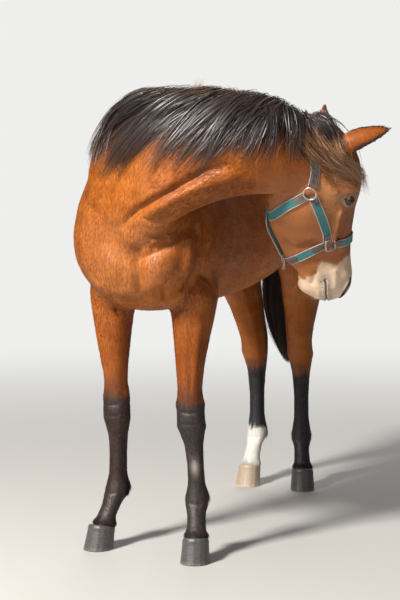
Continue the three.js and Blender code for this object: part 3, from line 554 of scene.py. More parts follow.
# Legs: muscle of the arm, knees, hocks, cannon bones with sinews behind them, and fetlocks.
for foot, limb in limbs.items():
    for side in (-1, 1):
        ridge(limb, [(27 * side, -14, 400), (27 * side, -13, 320), (28 * side, -13, 240)], 6, -5)
        swell(limb, (28 * side, -26, 204), (15, 18, 20), 4)
        swell(limb, (27 * side, 2, 158), (14, 18, 22), -3)
    swell(limb, (0, -46, 196), (14, 14, 16), 4)
    ridge(limb, [(-26, 32, 187), (0, 42, 182), (26, 32, 187)], 6, -2.5)
    for turn in range(0, 360, 30):
        around = math.radians(turn)
        on_coronet = (40 * math.sin(around), 42 * math.cos(around), 88 + 7 * math.cos(around))
        swell(limb, on_coronet, (18, 18, 7), 2.2)
    if foot.startswith("fore"):
        for side in (-1, 1):
            swell(limb, (44 * side, 0, 512), (18, 24, 17), 4.5)
            swell(limb, (40 * side, 2, 438), (16, 24, 14), 4)
            over_knee = [(30 * side, -40, 700), (34 * side, -30, 620), (34 * side, -26, 540)]
            ridge(limb, over_knee, 9, -5)
        swell(limb, (0, -48, 478), (17, 18, 24), 8)
        ridge(limb, [(-34, 26, 492), (0, 44, 488), (34, 26, 492)], 6, -3.5)
        ridge(limb, [(-34, 24, 452), (0, 42, 450), (34, 24, 452)], 6, -3)
        ridge(limb, [(8, 80, 770), (4, 66, 690), (10, 52, 610), (6, 46, 545)], 7, -7)
        ridge(limb, [(-14, 78, 800), (-18, 66, 700), (-8, 54, 600)], 5, 4)
        ridge(limb, [(26, 60, 800), (28, 50, 700), (24, 40, 600)], 12, 4)
    else:
        for side in (-1, 1):
            over_hock = [(30 * side, -56, 770), (30 * side, -48, 700), (30 * side, -40, 630)]
            ridge(limb, over_hock, 15, -11)
            swell(limb, (44 * side, 16, 528), (18, 28, 22), 5)
            ridge(limb, [(36 * side, 20, 480), (30 * side, 12, 440)], 10, -3)
        swell(limb, (0, -80, 588), (18, 26, 26), 9)
        ridge(limb, [(0, 62, 600), (0, 56, 545), (0, 40, 500)], 14, -4)
        ridge(limb, [(10, 70, 690), (6, 66, 640)], 6, 3)

# Head: the cheek plate, the ridge under the eye, the bones of the nose, the hollow over the eye,
# lips with a slit between them, chin, and veins under the thin skin.
for places, width, rise in (
    ([(92, -30, -236), (90, -16, -262), (82, -8, -302), (71, -2, -342), (60, 2, -380)], 8, 9),
    ([(90, -38, -262), (80, -32, -304), (68, -26, -360), (58, -20, -430)], 12, -11),
    ([(52, -72, -290), (44, -74, -360), (38, -72, -420), (36, -72, -470)], 9, 4),
    ([(98, -14, -188), (96, 12, -160), (90, 34, -128), (80, 36, -90)], 13, 8),
    ([(67, 37, -345), (57, 68, -366), (45, 98, -382), (32, 128, -386), (27, 149, -366),
      (24, 176, -330)], 13, -10),
    ([(90, 6, -236), (86, 14, -290), (76, 22, -340)], 10, -7),
    ([(36, 190, -300), (44, 210, -230), (46, 206, -160)], 12, 6),
    ([(76, -44, -290), (70, -28, -330), (60, -8, -385)], 3.2, 3.4),
    ([(82, -54, -276), (76, -48, -312), (70, -36, -334)], 3, 3.0),
    ([(80, 60, -300), (74, 96, -290), (64, 128, -300)], 3.2, 2.4),
    ([(86, 40, -210), (78, 80, -190), (66, 120, -200)], 3.2, 2.0),
    ([(0, 240, -120), (0, 220, -230), (0, 170, -330), (0, 120, -430)], 20, -12),
    ([(0, 98, -470), (0, 84, -500)], 16, -9),
    ([(50, -8, -468), (52, -10, -510), (48, -8, -548)], 12, 5),
    ([(52, 52, -470), (46, 60, -500), (34, 66, -530)], 9, -6),
):
    ridge(half_head, places, width, rise)
for middle, size, rise in (
    ((74, 96, -240), (40, 62, 70), 7),
    ((72, -28, -140), (24, 28, 24), -12),
    ((0, 84, -548), (32, 26, 24), 7),
    ((50, -60, -492), (20, 24, 24), 7),
    ((0, -72, -560), (22, 20, 34), -3),
    ((84, -56, -176), (20, 26, 12), 6),
    ((60, 18, -452), (22, 26, 26), -3),
):
    swell(half_head, middle, size, rise)
ridge(half_head, MOUTH, 9, 3.5, ends=0)
ridge(half_head, MOUTH, 2.8, -14, ends=0)
swell(half_head, MOUTH[0], (8, 8, 7), -4)
gap, run = gap_from(half_head, line_through(NOSTRIL))
open_width = 8.5 * np.sin(np.pi * (0.12 + 0.8 * run)) ** 0.7
push += np.where(gap < 60, 5.5 * np.exp(-(((gap - open_width - 4) / 5) ** 2)), 0)
push -= 28 * smoothstep(open_width + 1.5, open_width - 3.5, gap)
put_back(hide, co + normals * push[:, None] / 1000)

# The eyelids: an almond opening round each eyeball, a thick rim, and two folds over it.
BALL, LID_THICK, SUNK = 22.0, 2.6, 7.0  # the ball, the lid over it, and the hide behind the ball
GAZE = np.array([0.92, -0.34, 0.02])  # of the left eye, outwards and a little ahead
LID_HALF, LID_HIGH, LID_LOW = 22.5, 13.0, 11.0
LID_WAY = np.array([0.0, 0.88, 0.42])  # from the inner corner to the outer one
gaze = GAZE / np.linalg.norm(GAZE)
lid_way = LID_WAY - gaze * (LID_WAY @ gaze)
lid_way /= np.linalg.norm(lid_way)
lid_up = np.cross(gaze, lid_way)
lid_up *= np.sign(lid_up[2])


def lid_gap(half):
    """How far places of the left half of the head are outside the opening of the lids."""
    off = half - EYE_MIDDLE
    u, w = off @ lid_way, off @ lid_up
    arch = np.maximum(0, 1 - (u / LID_HALF) ** 2)
    lid = np.where(w > 0, LID_HIGH * arch ** 0.8, LID_LOW * arch ** 0.95)
    gap = np.where(np.abs(u) < LID_HALF, np.abs(w) - lid, np.hypot(np.abs(u) - LID_HALF, w))
    return np.where((np.linalg.norm(off, axis=1) < 60) & (off @ gaze > 0), gap, FAR)


co = coordinates(hide)
on_head = to_head(co)
half = mirrored(on_head) - EYE_MIDDLE
near = np.flatnonzero((np.linalg.norm(half, axis=1) < 46) & (half @ gaze > 0))
off = half[near]
over = lid_gap(half[near] + EYE_MIDDLE)
size = np.linalg.norm(off, axis=1)


def fold(middle, width):
    return np.exp(-(((over - middle) / width) ** 2))


above = 2.2 * fold(10, 2.2) + 2.0 * fold(17, 2.5) - 3.6 * fold(6.5, 1.8) - 3.0 * fold(13.5, 1.8)
folds = np.where(off @ lid_up > 0, above, 0.8 * fold(9, 2) - 1.3 * fold(6, 2))
lid_size = BALL - SUNK + (LID_THICK + SUNK) * smoothstep(-0.5, 1.2, over)
keep = smoothstep(2.5, 9, over)
new_size = lid_size * (1 - keep) + size * keep + folds * smoothstep(40, 28, size)
moved = off / size[:, None] * (new_size - size)[:, None]
moved[on_head[near, 0] < 0] *= [-1, 1, 1]
co[near] += moved @ head_turn.T / 1000
put_back(hide, co)

hide = thinned(hide, "skin", HIDE_FACES)
co = coordinates(hide)
normals = vertex_normals(hide)
skin = new_object("skin", hide)
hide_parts(*FLESH)

# ---- Skin: colours ---------------------------------------------------------------------------
# A bright bay: golden red-brown body, black points from the knees and hocks down, one white sock
# behind on the right and a cream muzzle with dark freckles. Hide and coat carry the same colours.

BAY = (0.315, 0.078, 0.006)
GOLD = (0.52, 0.165, 0.020)
LIVER = (0.13, 0.024, 0.004)
TEMPLE = (0.58, 0.245, 0.095)
CREAM = (0.72, 0.530, 0.370)
PINK_GREY = (0.46, 0.360, 0.310)
# the dark lining of the nostrils and of the slit between the lips, painted darker still for the
# shade inside them
OPENING_LINING_AND_SHADE = (0.055, 0.028, 0.032)
LID_DARK = (0.07, 0.045, 0.038)
LID_PALE = (0.50, 0.370, 0.260)
DUST = (0.036, 0.025, 0.023)
DUST_RED = (0.038, 0.015, 0.008)
POINTS_BLACK = (0.020, 0.019, 0.023)
SOCK = (0.74, 0.720, 0.670)
EAR_RIM = (0.060, 0.042, 0.034)
EAR_LINING = (0.24, 0.150, 0.090)


def mottle(points, scale, seed):
    """Soft patches between -1 and 1, about scale metres across."""
    dice = np.random.default_rng(seed)
    ways = dice.normal(size=(14, 3))
    pace = 2 * np.pi / scale * dice.uniform(0.6, 1.5, 14)
    ways *= (pace / np.linalg.norm(ways, axis=1))[:, None]
    return np.sin(points @ ways.T + dice.uniform(0, 6.3, 14)).sum(axis=1) / 4.4


def toward(colours, colour, amount):
    return colours + (np.array(colour) - colours) * np.clip(amount, 0, 1)[:, None]


EARS = {  # root on the head; ways to the tip and to the opening, in the room
    "ear_right": ((-54, -34, -44), (0.88, 0.3, 0.36), (-0.3, 0.7, -0.6)),
    "ear_left": ((50, -22, -30), (-0.37, 0.79, 0.49), (0.8, 0.5, -0.1)),
}
EAR_BOXES = {ear: [np.array(corner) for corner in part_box(ear)] for ear in EARS}


def ear_frame(ear, places):
    """Along an ear from root to tip, towards its opening, and across it, in millimetres."""
    root, tip, opening = EARS[ear]
    start = np.array(head_spot(*root))
    tip = np.array(tip) / np.linalg.norm(tip)
    across = np.cross(tip, opening)
    across /= np.linalg.norm(across)
    front = np.cross(across, tip)
    off = (places - start) * 1000
    return off @ tip, off @ front, off @ across


def ear_edge(length, front, across):
    """How near places on an ear are to the open edge of its cup, from 0 to 1."""
    levels = [30, 55, 80, 105, 130, 155, 180]
    back = np.interp(length, levels, [-38, -38, -35, -28, -20, -8, -2])
    lip = np.interp(length, levels, [-6, -6, -9, -10, -8, -2, 0])
    wide = np.interp(length, [0, 60, 110, 150, 185], [40, 35, 26, 8, 4])
    forward = (front - back) / (lip - back)
    return smoothstep(0.42, 0.62, forward) * smoothstep(0.45, 0.8, np.abs(across) / wide)


def on_ear(ear, places):
    low, high = EAR_BOXES[ear]
    near = np.all((places > low - 0.01) & (places < high + 0.01), axis=1)
    along_ear, _, _ = ear_frame(ear, places)
    return near * smoothstep(18, 42, along_ear)


def gap_near(points, line, far):
    """The distance to a line, worked out only near it."""
    low, high = np.min(line, axis=0) - far, np.max(line, axis=0) + far
    near = np.flatnonzero(np.all((points > low) & (points < high), axis=1))
    gap = np.full(len(points), FAR)
    gap[near] = gap_from(points[near], line)[0]
    return gap


def round_patch(places, middle, size):
    return np.exp(-(((places - middle) / size) ** 2).sum(axis=1))


def coat_colours(places, outward):
    """The coat's colour at places on the hide, and how freckled and how bare the skin is."""
    drawn, on_head = to_drawing(places), to_head(places)
    small, middling = mottle(places, 0.018, 3), mottle(places, 0.07, 4)
    wide = mottle(places, 0.35, 5)
    colours = np.tile(BAY, (len(places), 1))
    height = drawn[:, 2]
    below, above = smoothstep(-0.2, -0.9, outward[:, 2]), smoothstep(0.75, 1.0, outward[:, 2])
    colours = toward(colours, GOLD, 0.13 + 0.16 * wide + 0.10 * middling)
    colours = toward(colours, GOLD, 0.55 * below * smoothstep(1150, 880, height))
    chest = (smoothstep(-120, -240, drawn[:, 1]) * smoothstep(1200, 1080, height)
             * smoothstep(820, 900, height))
    colours = toward(colours, TEMPLE, 0.22 * chest)
    colours = toward(colours, LIVER, 0.35 * above * smoothstep(1300, 1420, height))
    colours = toward(colours, LIVER, 0.22 * smoothstep(0.1, 0.8, mottle(places, 0.9, 6)))
    colours, freckled, bare = head_colours(colours, places, on_head, small)
    colours = ear_colours(colours, places, outward, middling)
    colours = leg_colours(colours, places, small, middling)
    colours *= (1 + 0.05 * small + 0.06 * middling)[:, None]
    return np.clip(colours, 0, 1), freckled, bare


def head_colours(colours, places, on_head, small):
    """Pale temple and cheek, dark bridge, torn-edged cream muzzle, and painted light and shade."""
    half, down = mirrored(on_head), on_head[:, 2]
    head = ((half[:, 0] < 128) * (down > -650) * smoothstep(40, -20, down)
            * smoothstep(250, 195, np.abs(on_head[:, 1])))
    temple = round_patch(half, (88, 10, -190), (60, 70, 70))
    colours = toward(colours, TEMPLE, head * 0.75 * temple)
    colours = toward(colours, TEMPLE, head * 0.35 * smoothstep(-60, -140, down))
    # painted highlight: the ridge of the facial crest is made paler, as where light catches it
    crest = gap_near(half, line_through([(93, -18, -240), (82, -7, -302), (62, 2, -372)]), 60)
    colours = toward(colours, TEMPLE, head * 0.3 * smoothstep(14, 4, crest))
    # painted shade: the side of the face before the facial crest, turned from the light, is
    # darkened
    before = gap_near(half, line_through([(90, -44, -266), (78, -38, -310), (62, -30, -370)]), 60)
    colours = toward(colours, LIVER, head * 0.65 * smoothstep(26, 8, before))
    specks = smoothstep(0.55, 0.9, mottle(places, 0.012, 9)) * temple
    colours = toward(colours, LIVER, head * 0.5 * specks)
    bridge = (smoothstep(-20, -70, on_head[:, 1]) * smoothstep(-230, -300, down)
              * smoothstep(-470, -400, down))
    colours = toward(colours, LIVER, head * 0.5 * bridge)
    # painted shade under the rounded lower edge of the cheek plate, just above the noseband
    colours = toward(colours, LIVER, head * 0.35 * round_patch(half, (60, 60, -390), (30, 60, 40)))
    over_lid = lid_gap(half)
    colours = toward(colours, LID_PALE, head * 0.75 * smoothstep(22, 9, over_lid))
    colours = toward(colours, LIVER, head * 0.5 * np.exp(-(((over_lid - 15) / 4) ** 2)))
    colours = toward(colours, LID_DARK, head * 0.95 * smoothstep(3.4, 1.2, over_lid))
    torn = np.interp(on_head[:, 1], [-90, -54, -28, -10, 16, 33, 39, 55, 89],
                     [-428, -440, -448, -456, -441, -421, -442, -479, -512])
    torn += 5 * mottle(places, 0.022, 7) + 7 * mottle(places, 0.05, 8)
    cream = head * smoothstep(3, -5, down - torn)
    colours = toward(colours, CREAM, cream)
    from_mouth = gap_near(half, line_through(MOUTH), 40)
    lips = head * smoothstep(30, 12, from_mouth)
    colours = toward(colours, PINK_GREY, cream * (0.75 * lips + 0.16 * small))
    # the slit between the lips: dark lining and painted shade in the slit
    colours = toward(colours, OPENING_LINING_AND_SHADE, head * smoothstep(3.2, 1.2, from_mouth))
    # the nostrils: dark lining and painted shade inside them
    nostril = head * smoothstep(12.5, 8, gap_near(half, line_through(NOSTRIL), 40))
    colours = toward(colours, OPENING_LINING_AND_SHADE, nostril)
    chin = head * smoothstep(26, 8, np.linalg.norm(half - (10, 84, -566), axis=1))
    freckled = np.clip(cream * (lips + 0.25 * chin), 0, 1)
    bare = np.clip(head * (nostril + 0.5 * cream * lips + smoothstep(4, 2, over_lid)), 0, 1)
    return colours, freckled, bare


def ear_colours(colours, places, outward, middling):
    """Bay backs, dark rims, pale wool in the cup, a dark tip on the right ear, and painted back
    light on the left.
    """
    for ear, (_, tip, opening) in EARS.items():
        on = on_ear(ear, places)
        length, front, across = ear_frame(ear, places)
        into_cup = np.cross(np.cross(tip, opening), tip) / np.linalg.norm(opening)
        colours = toward(colours, EAR_LINING, on * 0.8 * smoothstep(0.1, 0.5, outward @ into_cup))
        # painted light: the left ear's tip and the top of its rim stay mostly bay, for light
        # shining through it from behind
        dark_tip = 1 if ear == "ear_right" else 0.1
        rim = ear_edge(length, front, across) * (1 - (1 - dark_tip) * smoothstep(95, 125, length))
        colours = toward(colours, EAR_RIM, on * 0.95 * rim)
        tip_share = smoothstep(128, 158, length + 8 * middling)
        colours = toward(colours, EAR_RIM, on * dark_tip * tip_share)
    return colours


def leg_colours(colours, places, small, middling):
    """Black points, dusty in front of the forelegs, painted shade behind the hind legs, and the one
    white sock.
    """
    for foot in FEET:
        limb = on_leg(foot, places)
        on, up = limb[:, 0] < FAR / 2, limb[:, 2]
        ahead = np.clip(limb[:, 1] / 45, -1, 1)
        if foot.startswith("fore"):
            edge = 518 - 12 * ahead + 12 * middling + 7 * small
            dusk = 0.6 * smoothstep(620, 530, up) * smoothstep(-0.2, 0.7, ahead)
            colours = toward(colours, DUST_RED, on * dusk)
            dark = on * smoothstep(edge + 16, edge - 16, up)
            colours = toward(colours, POINTS_BLACK, dark)
            in_front = DUST_RED if foot == "fore_right" else DUST
            colours = toward(colours, in_front, dark * smoothstep(-0.6, 0.5, ahead)
                             * (0.8 - 0.3 * small - 0.2 * middling))
            knee, fetlock = smoothstep(430, 500, up), smoothstep(250, 215, up)
            colours = toward(colours, DUST, dark * (0.6 + 0.3 * middling + 0.25 * small)
                             * np.clip(knee + fetlock, 0, 1) * smoothstep(-0.5, 0.6, ahead))
        else:
            behind = smoothstep(0.7, -0.4, ahead)
            # the backs of the hind legs darkened from the gaskin down: partly their darker back
            # edge, partly painted shade
            colours = toward(colours, LIVER, on * 0.45 * smoothstep(840, 560, up) * behind)
            edge = 470 + 260 * smoothstep(0.3, -0.9, ahead) + 20 * middling + 8 * small
            colours = toward(colours, POINTS_BLACK, on * smoothstep(edge + 44, edge - 40, up))
        if foot == "hind_right":
            edge = 226 + 58 * smoothstep(-0.35, -0.85, ahead) + 7 * middling + 4 * small
            colours = toward(colours, SOCK, on * smoothstep(edge + 6, edge - 6, up))
        if foot == "fore_left":
            scuff = round_patch(limb, (2, 33, 306), (12, 14, 22))
            colours = toward(colours, PINK_GREY, on * 0.8 * scuff)
    return colours


# The coat lies down the legs and the face, backwards along the trunk, and along the neck.
def lie_shares(places):
    """How much of the coat's lie is downwards, how much backwards, and how much along the neck."""
    x, y, z = to_drawing(places).T
    body = ~within_head(to_head(places), 30)
    neck_share = smoothstep(-20, -140, y) * smoothstep(40, 200, x)
    neck_share *= smoothstep(1080, 1160, z) * body
    trunk_share = smoothstep(820, 960, z) * smoothstep(-150, 120, y) * (1 - neck_share) * body
    return np.stack([1 - neck_share - trunk_share, trunk_share, neck_share], axis=1)


LIES = np.array([(0, 0, -1), (0, 0.93, -0.37), (-0.88, -0.25, -0.4)])


def paint_attribute(mesh, name, values):
    four = np.ones((len(values), 4), dtype=np.float32)
    four[:, :values.shape[1]] = values
    mesh.attributes.new(name, "FLOAT_COLOR", "POINT").data.foreach_set("color", four.ravel())


colours, freckled, bare = coat_colours(co, normals)
paint_attribute(hide, "coat_colour", colours)
paint_attribute(hide, "coat_marks", np.stack([freckled, bare, bare], axis=1))
paint_attribute(hide, "coat_lie", lie_shares(co))

# ---- Skin: material --------------------------------------------------------------------------
# Short, flat, glossy summer hair. Its strands show as fine streaks of colour and relief along the
# lie; the muzzle, lids and nostrils are bare skin with freckles and pores.

NUMBER, WAY, COLOUR = "NodeSocketFloat", "NodeSocketVector", "NodeSocketColor"
COAT_STRANDS, STRAND_LENGTH = 380, 9  # strands in a metre, and how many times longer than wide
FRECKLE = (0.075, 0.055, 0.055, 1)


def new_group(name, inputs, output, kind):
    """A node group with named inputs, each with its kind and usual value, and one output."""
    group = bpy.data.node_groups.new(name, "ShaderNodeTree")
    for title, (socket_kind, usual) in inputs.items():
        socket = group.interface.new_socket(title, in_out="INPUT", socket_type=socket_kind)
        socket.default_value = usual
    group.interface.new_socket(output, in_out="OUTPUT", socket_type=kind)
    return group, node(group, "NodeGroupInput").outputs, node(group, "NodeGroupOutput").inputs


# Grain: fine soft noise over a piece, drawn out along an axis where Stretch is small.
grain_group, given, made = new_group("grain", {
    "Scale": (NUMBER, 100.0), "Detail": (NUMBER, 2.0), "Stretch": (WAY, (1.0, 1.0, 1.0))},
    "Grain", NUMBER)
place = node(grain_group, "ShaderNodeTexCoord")
stretched = node(grain_group, "ShaderNodeVectorMath", {
    0: place.outputs["Object"], 1: given["Stretch"]}, operation="MULTIPLY")
noise = node(grain_group, "ShaderNodeTexNoise", {
    "Vector": stretched.outputs["Vector"], "Scale": given["Scale"], "Detail": given["Detail"]})
wire(grain_group, noise.outputs["Fac"], made["Grain"])

# Strand tone: hair made darker and lighter from strand to strand.
tone_group, given, made = new_group("strand tone", {
    "Hair": (COLOUR, (1.0, 1.0, 1.0, 1.0)), "Strands": (NUMBER, 0.5), "From Low": (NUMBER, 0.0),
    "From High": (NUMBER, 1.0), "Darkest": (NUMBER, 0.8), "Lightest": (NUMBER, 1.2)},
    "Toned", COLOUR)
tone = node(tone_group, "ShaderNodeMapRange", {
    "Value": given["Strands"], "From Min": given["From Low"], "From Max": given["From High"],
    "To Min": given["Darkest"], "To Max": given["Lightest"]})
scaled = node(tone_group, "ShaderNodeVectorMath", {
    0: given["Hair"], "Scale": tone.outputs["Result"]}, operation="SCALE")
wire(tone_group, scaled.outputs["Vector"], made["Toned"])


def grain(tree, scale, detail=2.0, stretch=(1, 1, 1)):
    values = {"Scale": scale, "Detail": detail, "Stretch": stretch}
    return node(tree, "ShaderNodeGroup", values, node_tree=grain_group).outputs["Grain"]


def strand_tone(tree, hair, strands, span, tones):
    values = {"Hair": hair, "Strands": strands, "From Low": span[0], "From High": span[1],
              "Darkest": tones[0], "Lightest": tones[1]}
    return node(tree, "ShaderNodeGroup", values, node_tree=tone_group).outputs["Toned"]


def painted(tree, name, output="Color"):
    return node(tree, "ShaderNodeAttribute", attribute_name=name).outputs[output]


def parts_of(tree, colour):
    parts = node(tree, "ShaderNodeSeparateColor", {"Color": colour})
    return [parts.outputs[part] for part in ("Red", "Green", "Blue")]


def cells(tree, scale):
    """How far a place is from the middle of its cell, over a piece parted into small cells."""
    place = node(tree, "ShaderNodeTexCoord")
    made = node(tree, "ShaderNodeTexVoronoi", {"Vector": place.outputs["Object"], "Scale": scale})
    return made.outputs["Distance"]


def ranged(tree, value, span, result):
    return node(tree, "ShaderNodeMapRange", {
        "Value": value, "From Min": span[0], "From Max": span[1],
        "To Min": result[0], "To Max": result[1]}).outputs["Result"]


def laid_over(tree, share, under, over):
    values = {"Factor": share, "A": under, "B": over}
    return node(tree, "ShaderNodeMix", values, data_type="RGBA").outputs["Result"]


def relief(tree, shader, height, distance, strength=1.0):
    bump = node(tree, "ShaderNodeBump", {
        "Height": height, "Distance": distance, "Strength": strength})
    wire(tree, bump.outputs["Normal"], shader.inputs["Normal"])


def combed(tree, way):
    """Noise drawn out along one way of the coat's lie."""
    place = node(tree, "ShaderNodeTexCoord")
    turned = node(tree, "ShaderNodeMapping", {
        "Vector": place.outputs["Object"], "Scale": (1, 1, STRAND_LENGTH),
        "Rotation": Vector(way).to_track_quat("Z", "Y").to_euler()}, vector_type="TEXTURE")
    return node(tree, "ShaderNodeTexNoise", {
        "Vector": turned.outputs["Vector"], "Scale": COAT_STRANDS,
        "Detail": 4, "Roughness": 0.62}).outputs["Fac"]


coat, tree, shader = new_material("bay coat")
freckled_here, bare_here, _ = parts_of(tree, painted(tree, "coat_marks"))
streaks = 0
for way, share in zip(LIES, parts_of(tree, painted(tree, "coat_lie"))):
    shown = arithmetic(tree, "MULTIPLY", combed(tree, way), share)
    streaks = arithmetic(tree, "ADD", streaks, shown)
limit = arithmetic(tree, "MULTIPLY", grain(tree, 60), 0.62)
dots = arithmetic(tree, "LESS_THAN", cells(tree, 230), limit)
freckles = arithmetic(tree, "MULTIPLY", arithmetic(tree, "MULTIPLY", dots, freckled_here), 0.8)
hairs = strand_tone(tree, painted(tree, "coat_colour"), streaks, (0.3, 0.7), (0.84, 1.13))
wire(tree, laid_over(tree, freckles, hairs, FRECKLE), shader.inputs["Base Color"])
wire(tree, ranged(tree, streaks, (0.3, 0.7), (0.45, 0.58)), shader.inputs["Roughness"])
pores = grain(tree, 420)
surface = node(tree, "ShaderNodeMix", {"Factor": bare_here, "A": streaks, "B": pores})
relief(tree, shader, surface.outputs["Result"], 0.0010, 0.35)
hide.materials.clear()
hide.materials.append(coat)

# ---- Hooves ----------------------------------------------------------------------------------
# Four shells of horn, flat on the floor, with growth rings, a soft band under the coronet, parted
# heels and a hollow sole with its frog. Three are dark slate; the foot under the sock is pale.

HOOF_GRID = 0.0026
RING_STEP = 0.0100
HOOF_SLOPE = 0.2  # how much the rings climb towards the toe
CROWN_DROP = 0.012  # from the top of the horn down to its soft band
FROG_HALF, SOLE_DEPTH = 0.012, 0.006
HORN_DARK, DARK_FIBRE = (0.050, 0.047, 0.048), (0.17, 0.155, 0.145)
HORN_PALE, PALE_FIBRE = (0.36, 0.270, 0.185), (0.62, 0.52, 0.40)


def two_tone(tree, value, span, first, second):
    """The first colour below a span of values, the second above it, and a blend within it."""
    ramp = node(tree, "ShaderNodeValToRGB", {"Fac": value})
    for element, position, colour in zip(ramp.color_ramp.elements, span, (first, second)):
        element.position, element.color = position, (*colour, 1)
    return ramp.outputs["Color"]


def horn_material(name, colour, fibre):
    material, tree, shader = new_material(name, 0.42)
    fibres = grain(tree, 340, 3, (1, 1, 0.08))
    both = arithmetic(tree, "MULTIPLY", painted(tree, "horn_rings", "Fac"), fibres)
    wire(tree, two_tone(tree, both, (0.12, 0.55), colour, fibre), shader.inputs["Base Color"])
    relief(tree, shader, fibres, 0.0008, 0.4)
    return material


dark_horn = horn_material("dark horn", HORN_DARK, DARK_FIBRE)
pale_horn = horn_material("pale horn", HORN_PALE, PALE_FIBRE)
for foot in FEET:
    bm = bmesh.new()
    bm.from_mesh(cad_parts["hoof_" + foot].data)
    bmesh.ops.remove_doubles(bm, verts=bm.verts, dist=1e-6)
    shell = even_mesh(bm, "horn_" + foot, HOOF_GRID)
    bm.free()
    low, high = (np.array(corner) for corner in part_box("hoof_" + foot))
    turn = math.radians(FOOT_TURN[foot])
    side_way = np.array([math.cos(turn), math.sin(turn), 0])
    ahead_way = np.array([math.sin(turn), -math.cos(turn), 0])
    places = coordinates(shell)
    places = rubbed(places, links_of(shell), 9 * smoothstep(0.003, 0.012, places[:, 2]))
    places[:, 2] = np.maximum(places[:, 2], low[2])
    put_back(shell, places)
    outward = vertex_normals(shell)
    middle = (low + high) / 2
    across, ahead = (places - middle) @ side_way, (places - middle) @ ahead_way
    upright = 1 - smoothstep(0.5, 0.85, np.abs(outward[:, 2]))
    level = places[:, 2] - HOOF_SLOPE * ahead
    crown = high[2] - HOOF_SLOPE * 0.03 - CROWN_DROP
    rings = 0.5 + 0.5 * np.sin(2 * np.pi * (level + 0.004 * mottle(places, 0.05, 41)) / RING_STEP)
    bulge = 0.00012 * rings * smoothstep(crown + 0.004, crown - 0.006, level)
    bulge += 0.0010 * np.exp(-(((level - crown) / 0.006) ** 2))
    bulge -= 0.006 * np.exp(-((across / 0.006) ** 2)) * smoothstep(-0.02, -0.045, ahead)
    places += outward * (bulge * upright)[:, None]
    spread = np.hypot(across / 0.047, ahead / 0.052)
    frog_edge = FROG_HALF - 0.25 * ahead
    frog = smoothstep(frog_edge + 0.004, frog_edge, np.abs(across))
    frog *= smoothstep(0.016, 0.006, ahead)
    hollow = smoothstep(0.86, 0.7, spread) * (1 - frog) * smoothstep(-0.8, -0.95, outward[:, 2])
    places[:, 2] += SOLE_DEPTH * hollow
    put_back(shell, places)
    worn_low = smoothstep(0.014, 0.002, places[:, 2])
    rings_mark = np.clip(0.42 + 0.12 * rings + 0.4 * worn_low, 0, 1)
    paint_attribute(shell, "horn_rings", np.repeat(rings_mark[:, None], 3, axis=1))
    shell.shade_smooth()
    shell.materials.clear()
    shell.materials.append(pale_horn if foot == "hind_right" else dark_horn)
    piece = new_object("horn_" + foot, shell)
    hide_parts("hoof_" + foot)

# ---- Eyes ------------------------------------------------------------------------------------
# Large brown eyeballs with a level, long pupil under a bulging clear cornea, set behind the lids
# and lashes.

EYEBALL = 0.0213
CORNEA, CORNEA_RISE = 0.0140, 0.0016
PUPIL_LONG, PUPIL_HIGH = 0.0085, 0.0045
IRIS = (0.050, 0.020, 0.009)
IRIS_RIM = (0.012, 0.007, 0.006)
PUPIL = (0.003, 0.004, 0.007)
WHITE = (0.045, 0.026, 0.020)

eye_material, tree, shader = new_material("wet eye", 0.08)
wire(tree, painted(tree, "eye_colour"), shader.inputs["Base Color"])
shader.inputs["Specular IOR Level"].default_value = 0.35
shader.inputs["Coat Weight"].default_value = 0.25
shader.inputs["Coat Roughness"].default_value = 0.02
for side, name in ((-1, "eye_right"), (1, "eye_left")):
    flip = np.array([side, 1, 1])
    look, long_way = gaze * flip, lid_way * flip
    middle = head_spot(*(EYE_MIDDLE * flip))
    axes = np.stack([long_way, np.cross(look, long_way), look], axis=1)
    bm = bmesh.new()
    bmesh.ops.create_uvsphere(bm, u_segments=64, v_segments=48, radius=EYEBALL)
    ball = bpy.data.meshes.new(name + "_ball")
    bm.to_mesh(ball)
    bm.free()
    places = coordinates(ball)
    off_axis = np.hypot(places[:, 0], places[:, 1])
    front = places[:, 2] > 0
    places[:, 2] += CORNEA_RISE * smoothstep(CORNEA + 0.001, 0, off_axis) * front
    angle = np.arctan2(places[:, 1], places[:, 0])
    rays = 0.75 + 0.25 * np.sin(angle * 37) * np.sin(angle * 23 + 1)
    long_pupil = np.hypot(places[:, 0] / PUPIL_LONG, places[:, 1] / PUPIL_HIGH)
    colours_here = np.tile(WHITE, (len(places), 1))
    for colour, share in (
        (IRIS_RIM, smoothstep(CORNEA + 0.001, CORNEA, off_axis)),
        (IRIS, smoothstep(CORNEA - 0.0008, CORNEA - 0.002, off_axis) * rays),
        (PUPIL, smoothstep(1.1, 0.9, long_pupil)),
    ):
        colours_here = toward(colours_here, colour, share * front)
    paint_attribute(ball, "eye_colour", colours_here)
    put_back(ball, places @ (head_turn @ axes).T + np.array(middle))
    ball.shade_smooth()
    ball.materials.append(eye_material)
    piece = new_object(name + "_ball", ball)
    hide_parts(name)

# ---- Halter: webbing and leather -------------------------------------------------------------
# A stable halter of flat teal webbing, bound along both edges with a pale cord, with stitched
# leather tabs where each strap turns round its ring. All of it lies close on the coat.

hide_tree = tree_of(hide)
WEB_HALF, WEB_THICK = 0.0134, 0.0022
TAB_HALF, TAB_THICK = 0.0122, 0.0016
UNDER_STRAP = 0.0032  # from the hide to the underside of the webbing
CAMBER = 0.0003  # how much lower a strap lies at its edges than along its middle
BINDING = 0.0015
WARP, WEFT = 62.0, 5200.0  # turns of the weave: over half the width, and over a metre
STITCHES = 260.0  # in a metre
TEAL_DEEP, TEAL = (0.014, 0.190, 0.205, 1), (0.045, 0.400, 0.420, 1)
TEAL_FADED = (0.16, 0.33, 0.31, 1)
LEATHER, LEATHER_WORN = (0.075, 0.048, 0.042), (0.185, 0.140, 0.125)
THREAD, CUT_EDGE = (0.42, 0.34, 0.30, 1), (0.016, 0.011, 0.013, 1)
BINDING_SHADE, BINDING_PALE = (0.40, 0.29, 0.285), (0.72, 0.61, 0.60)
HALTER_HEART = 34

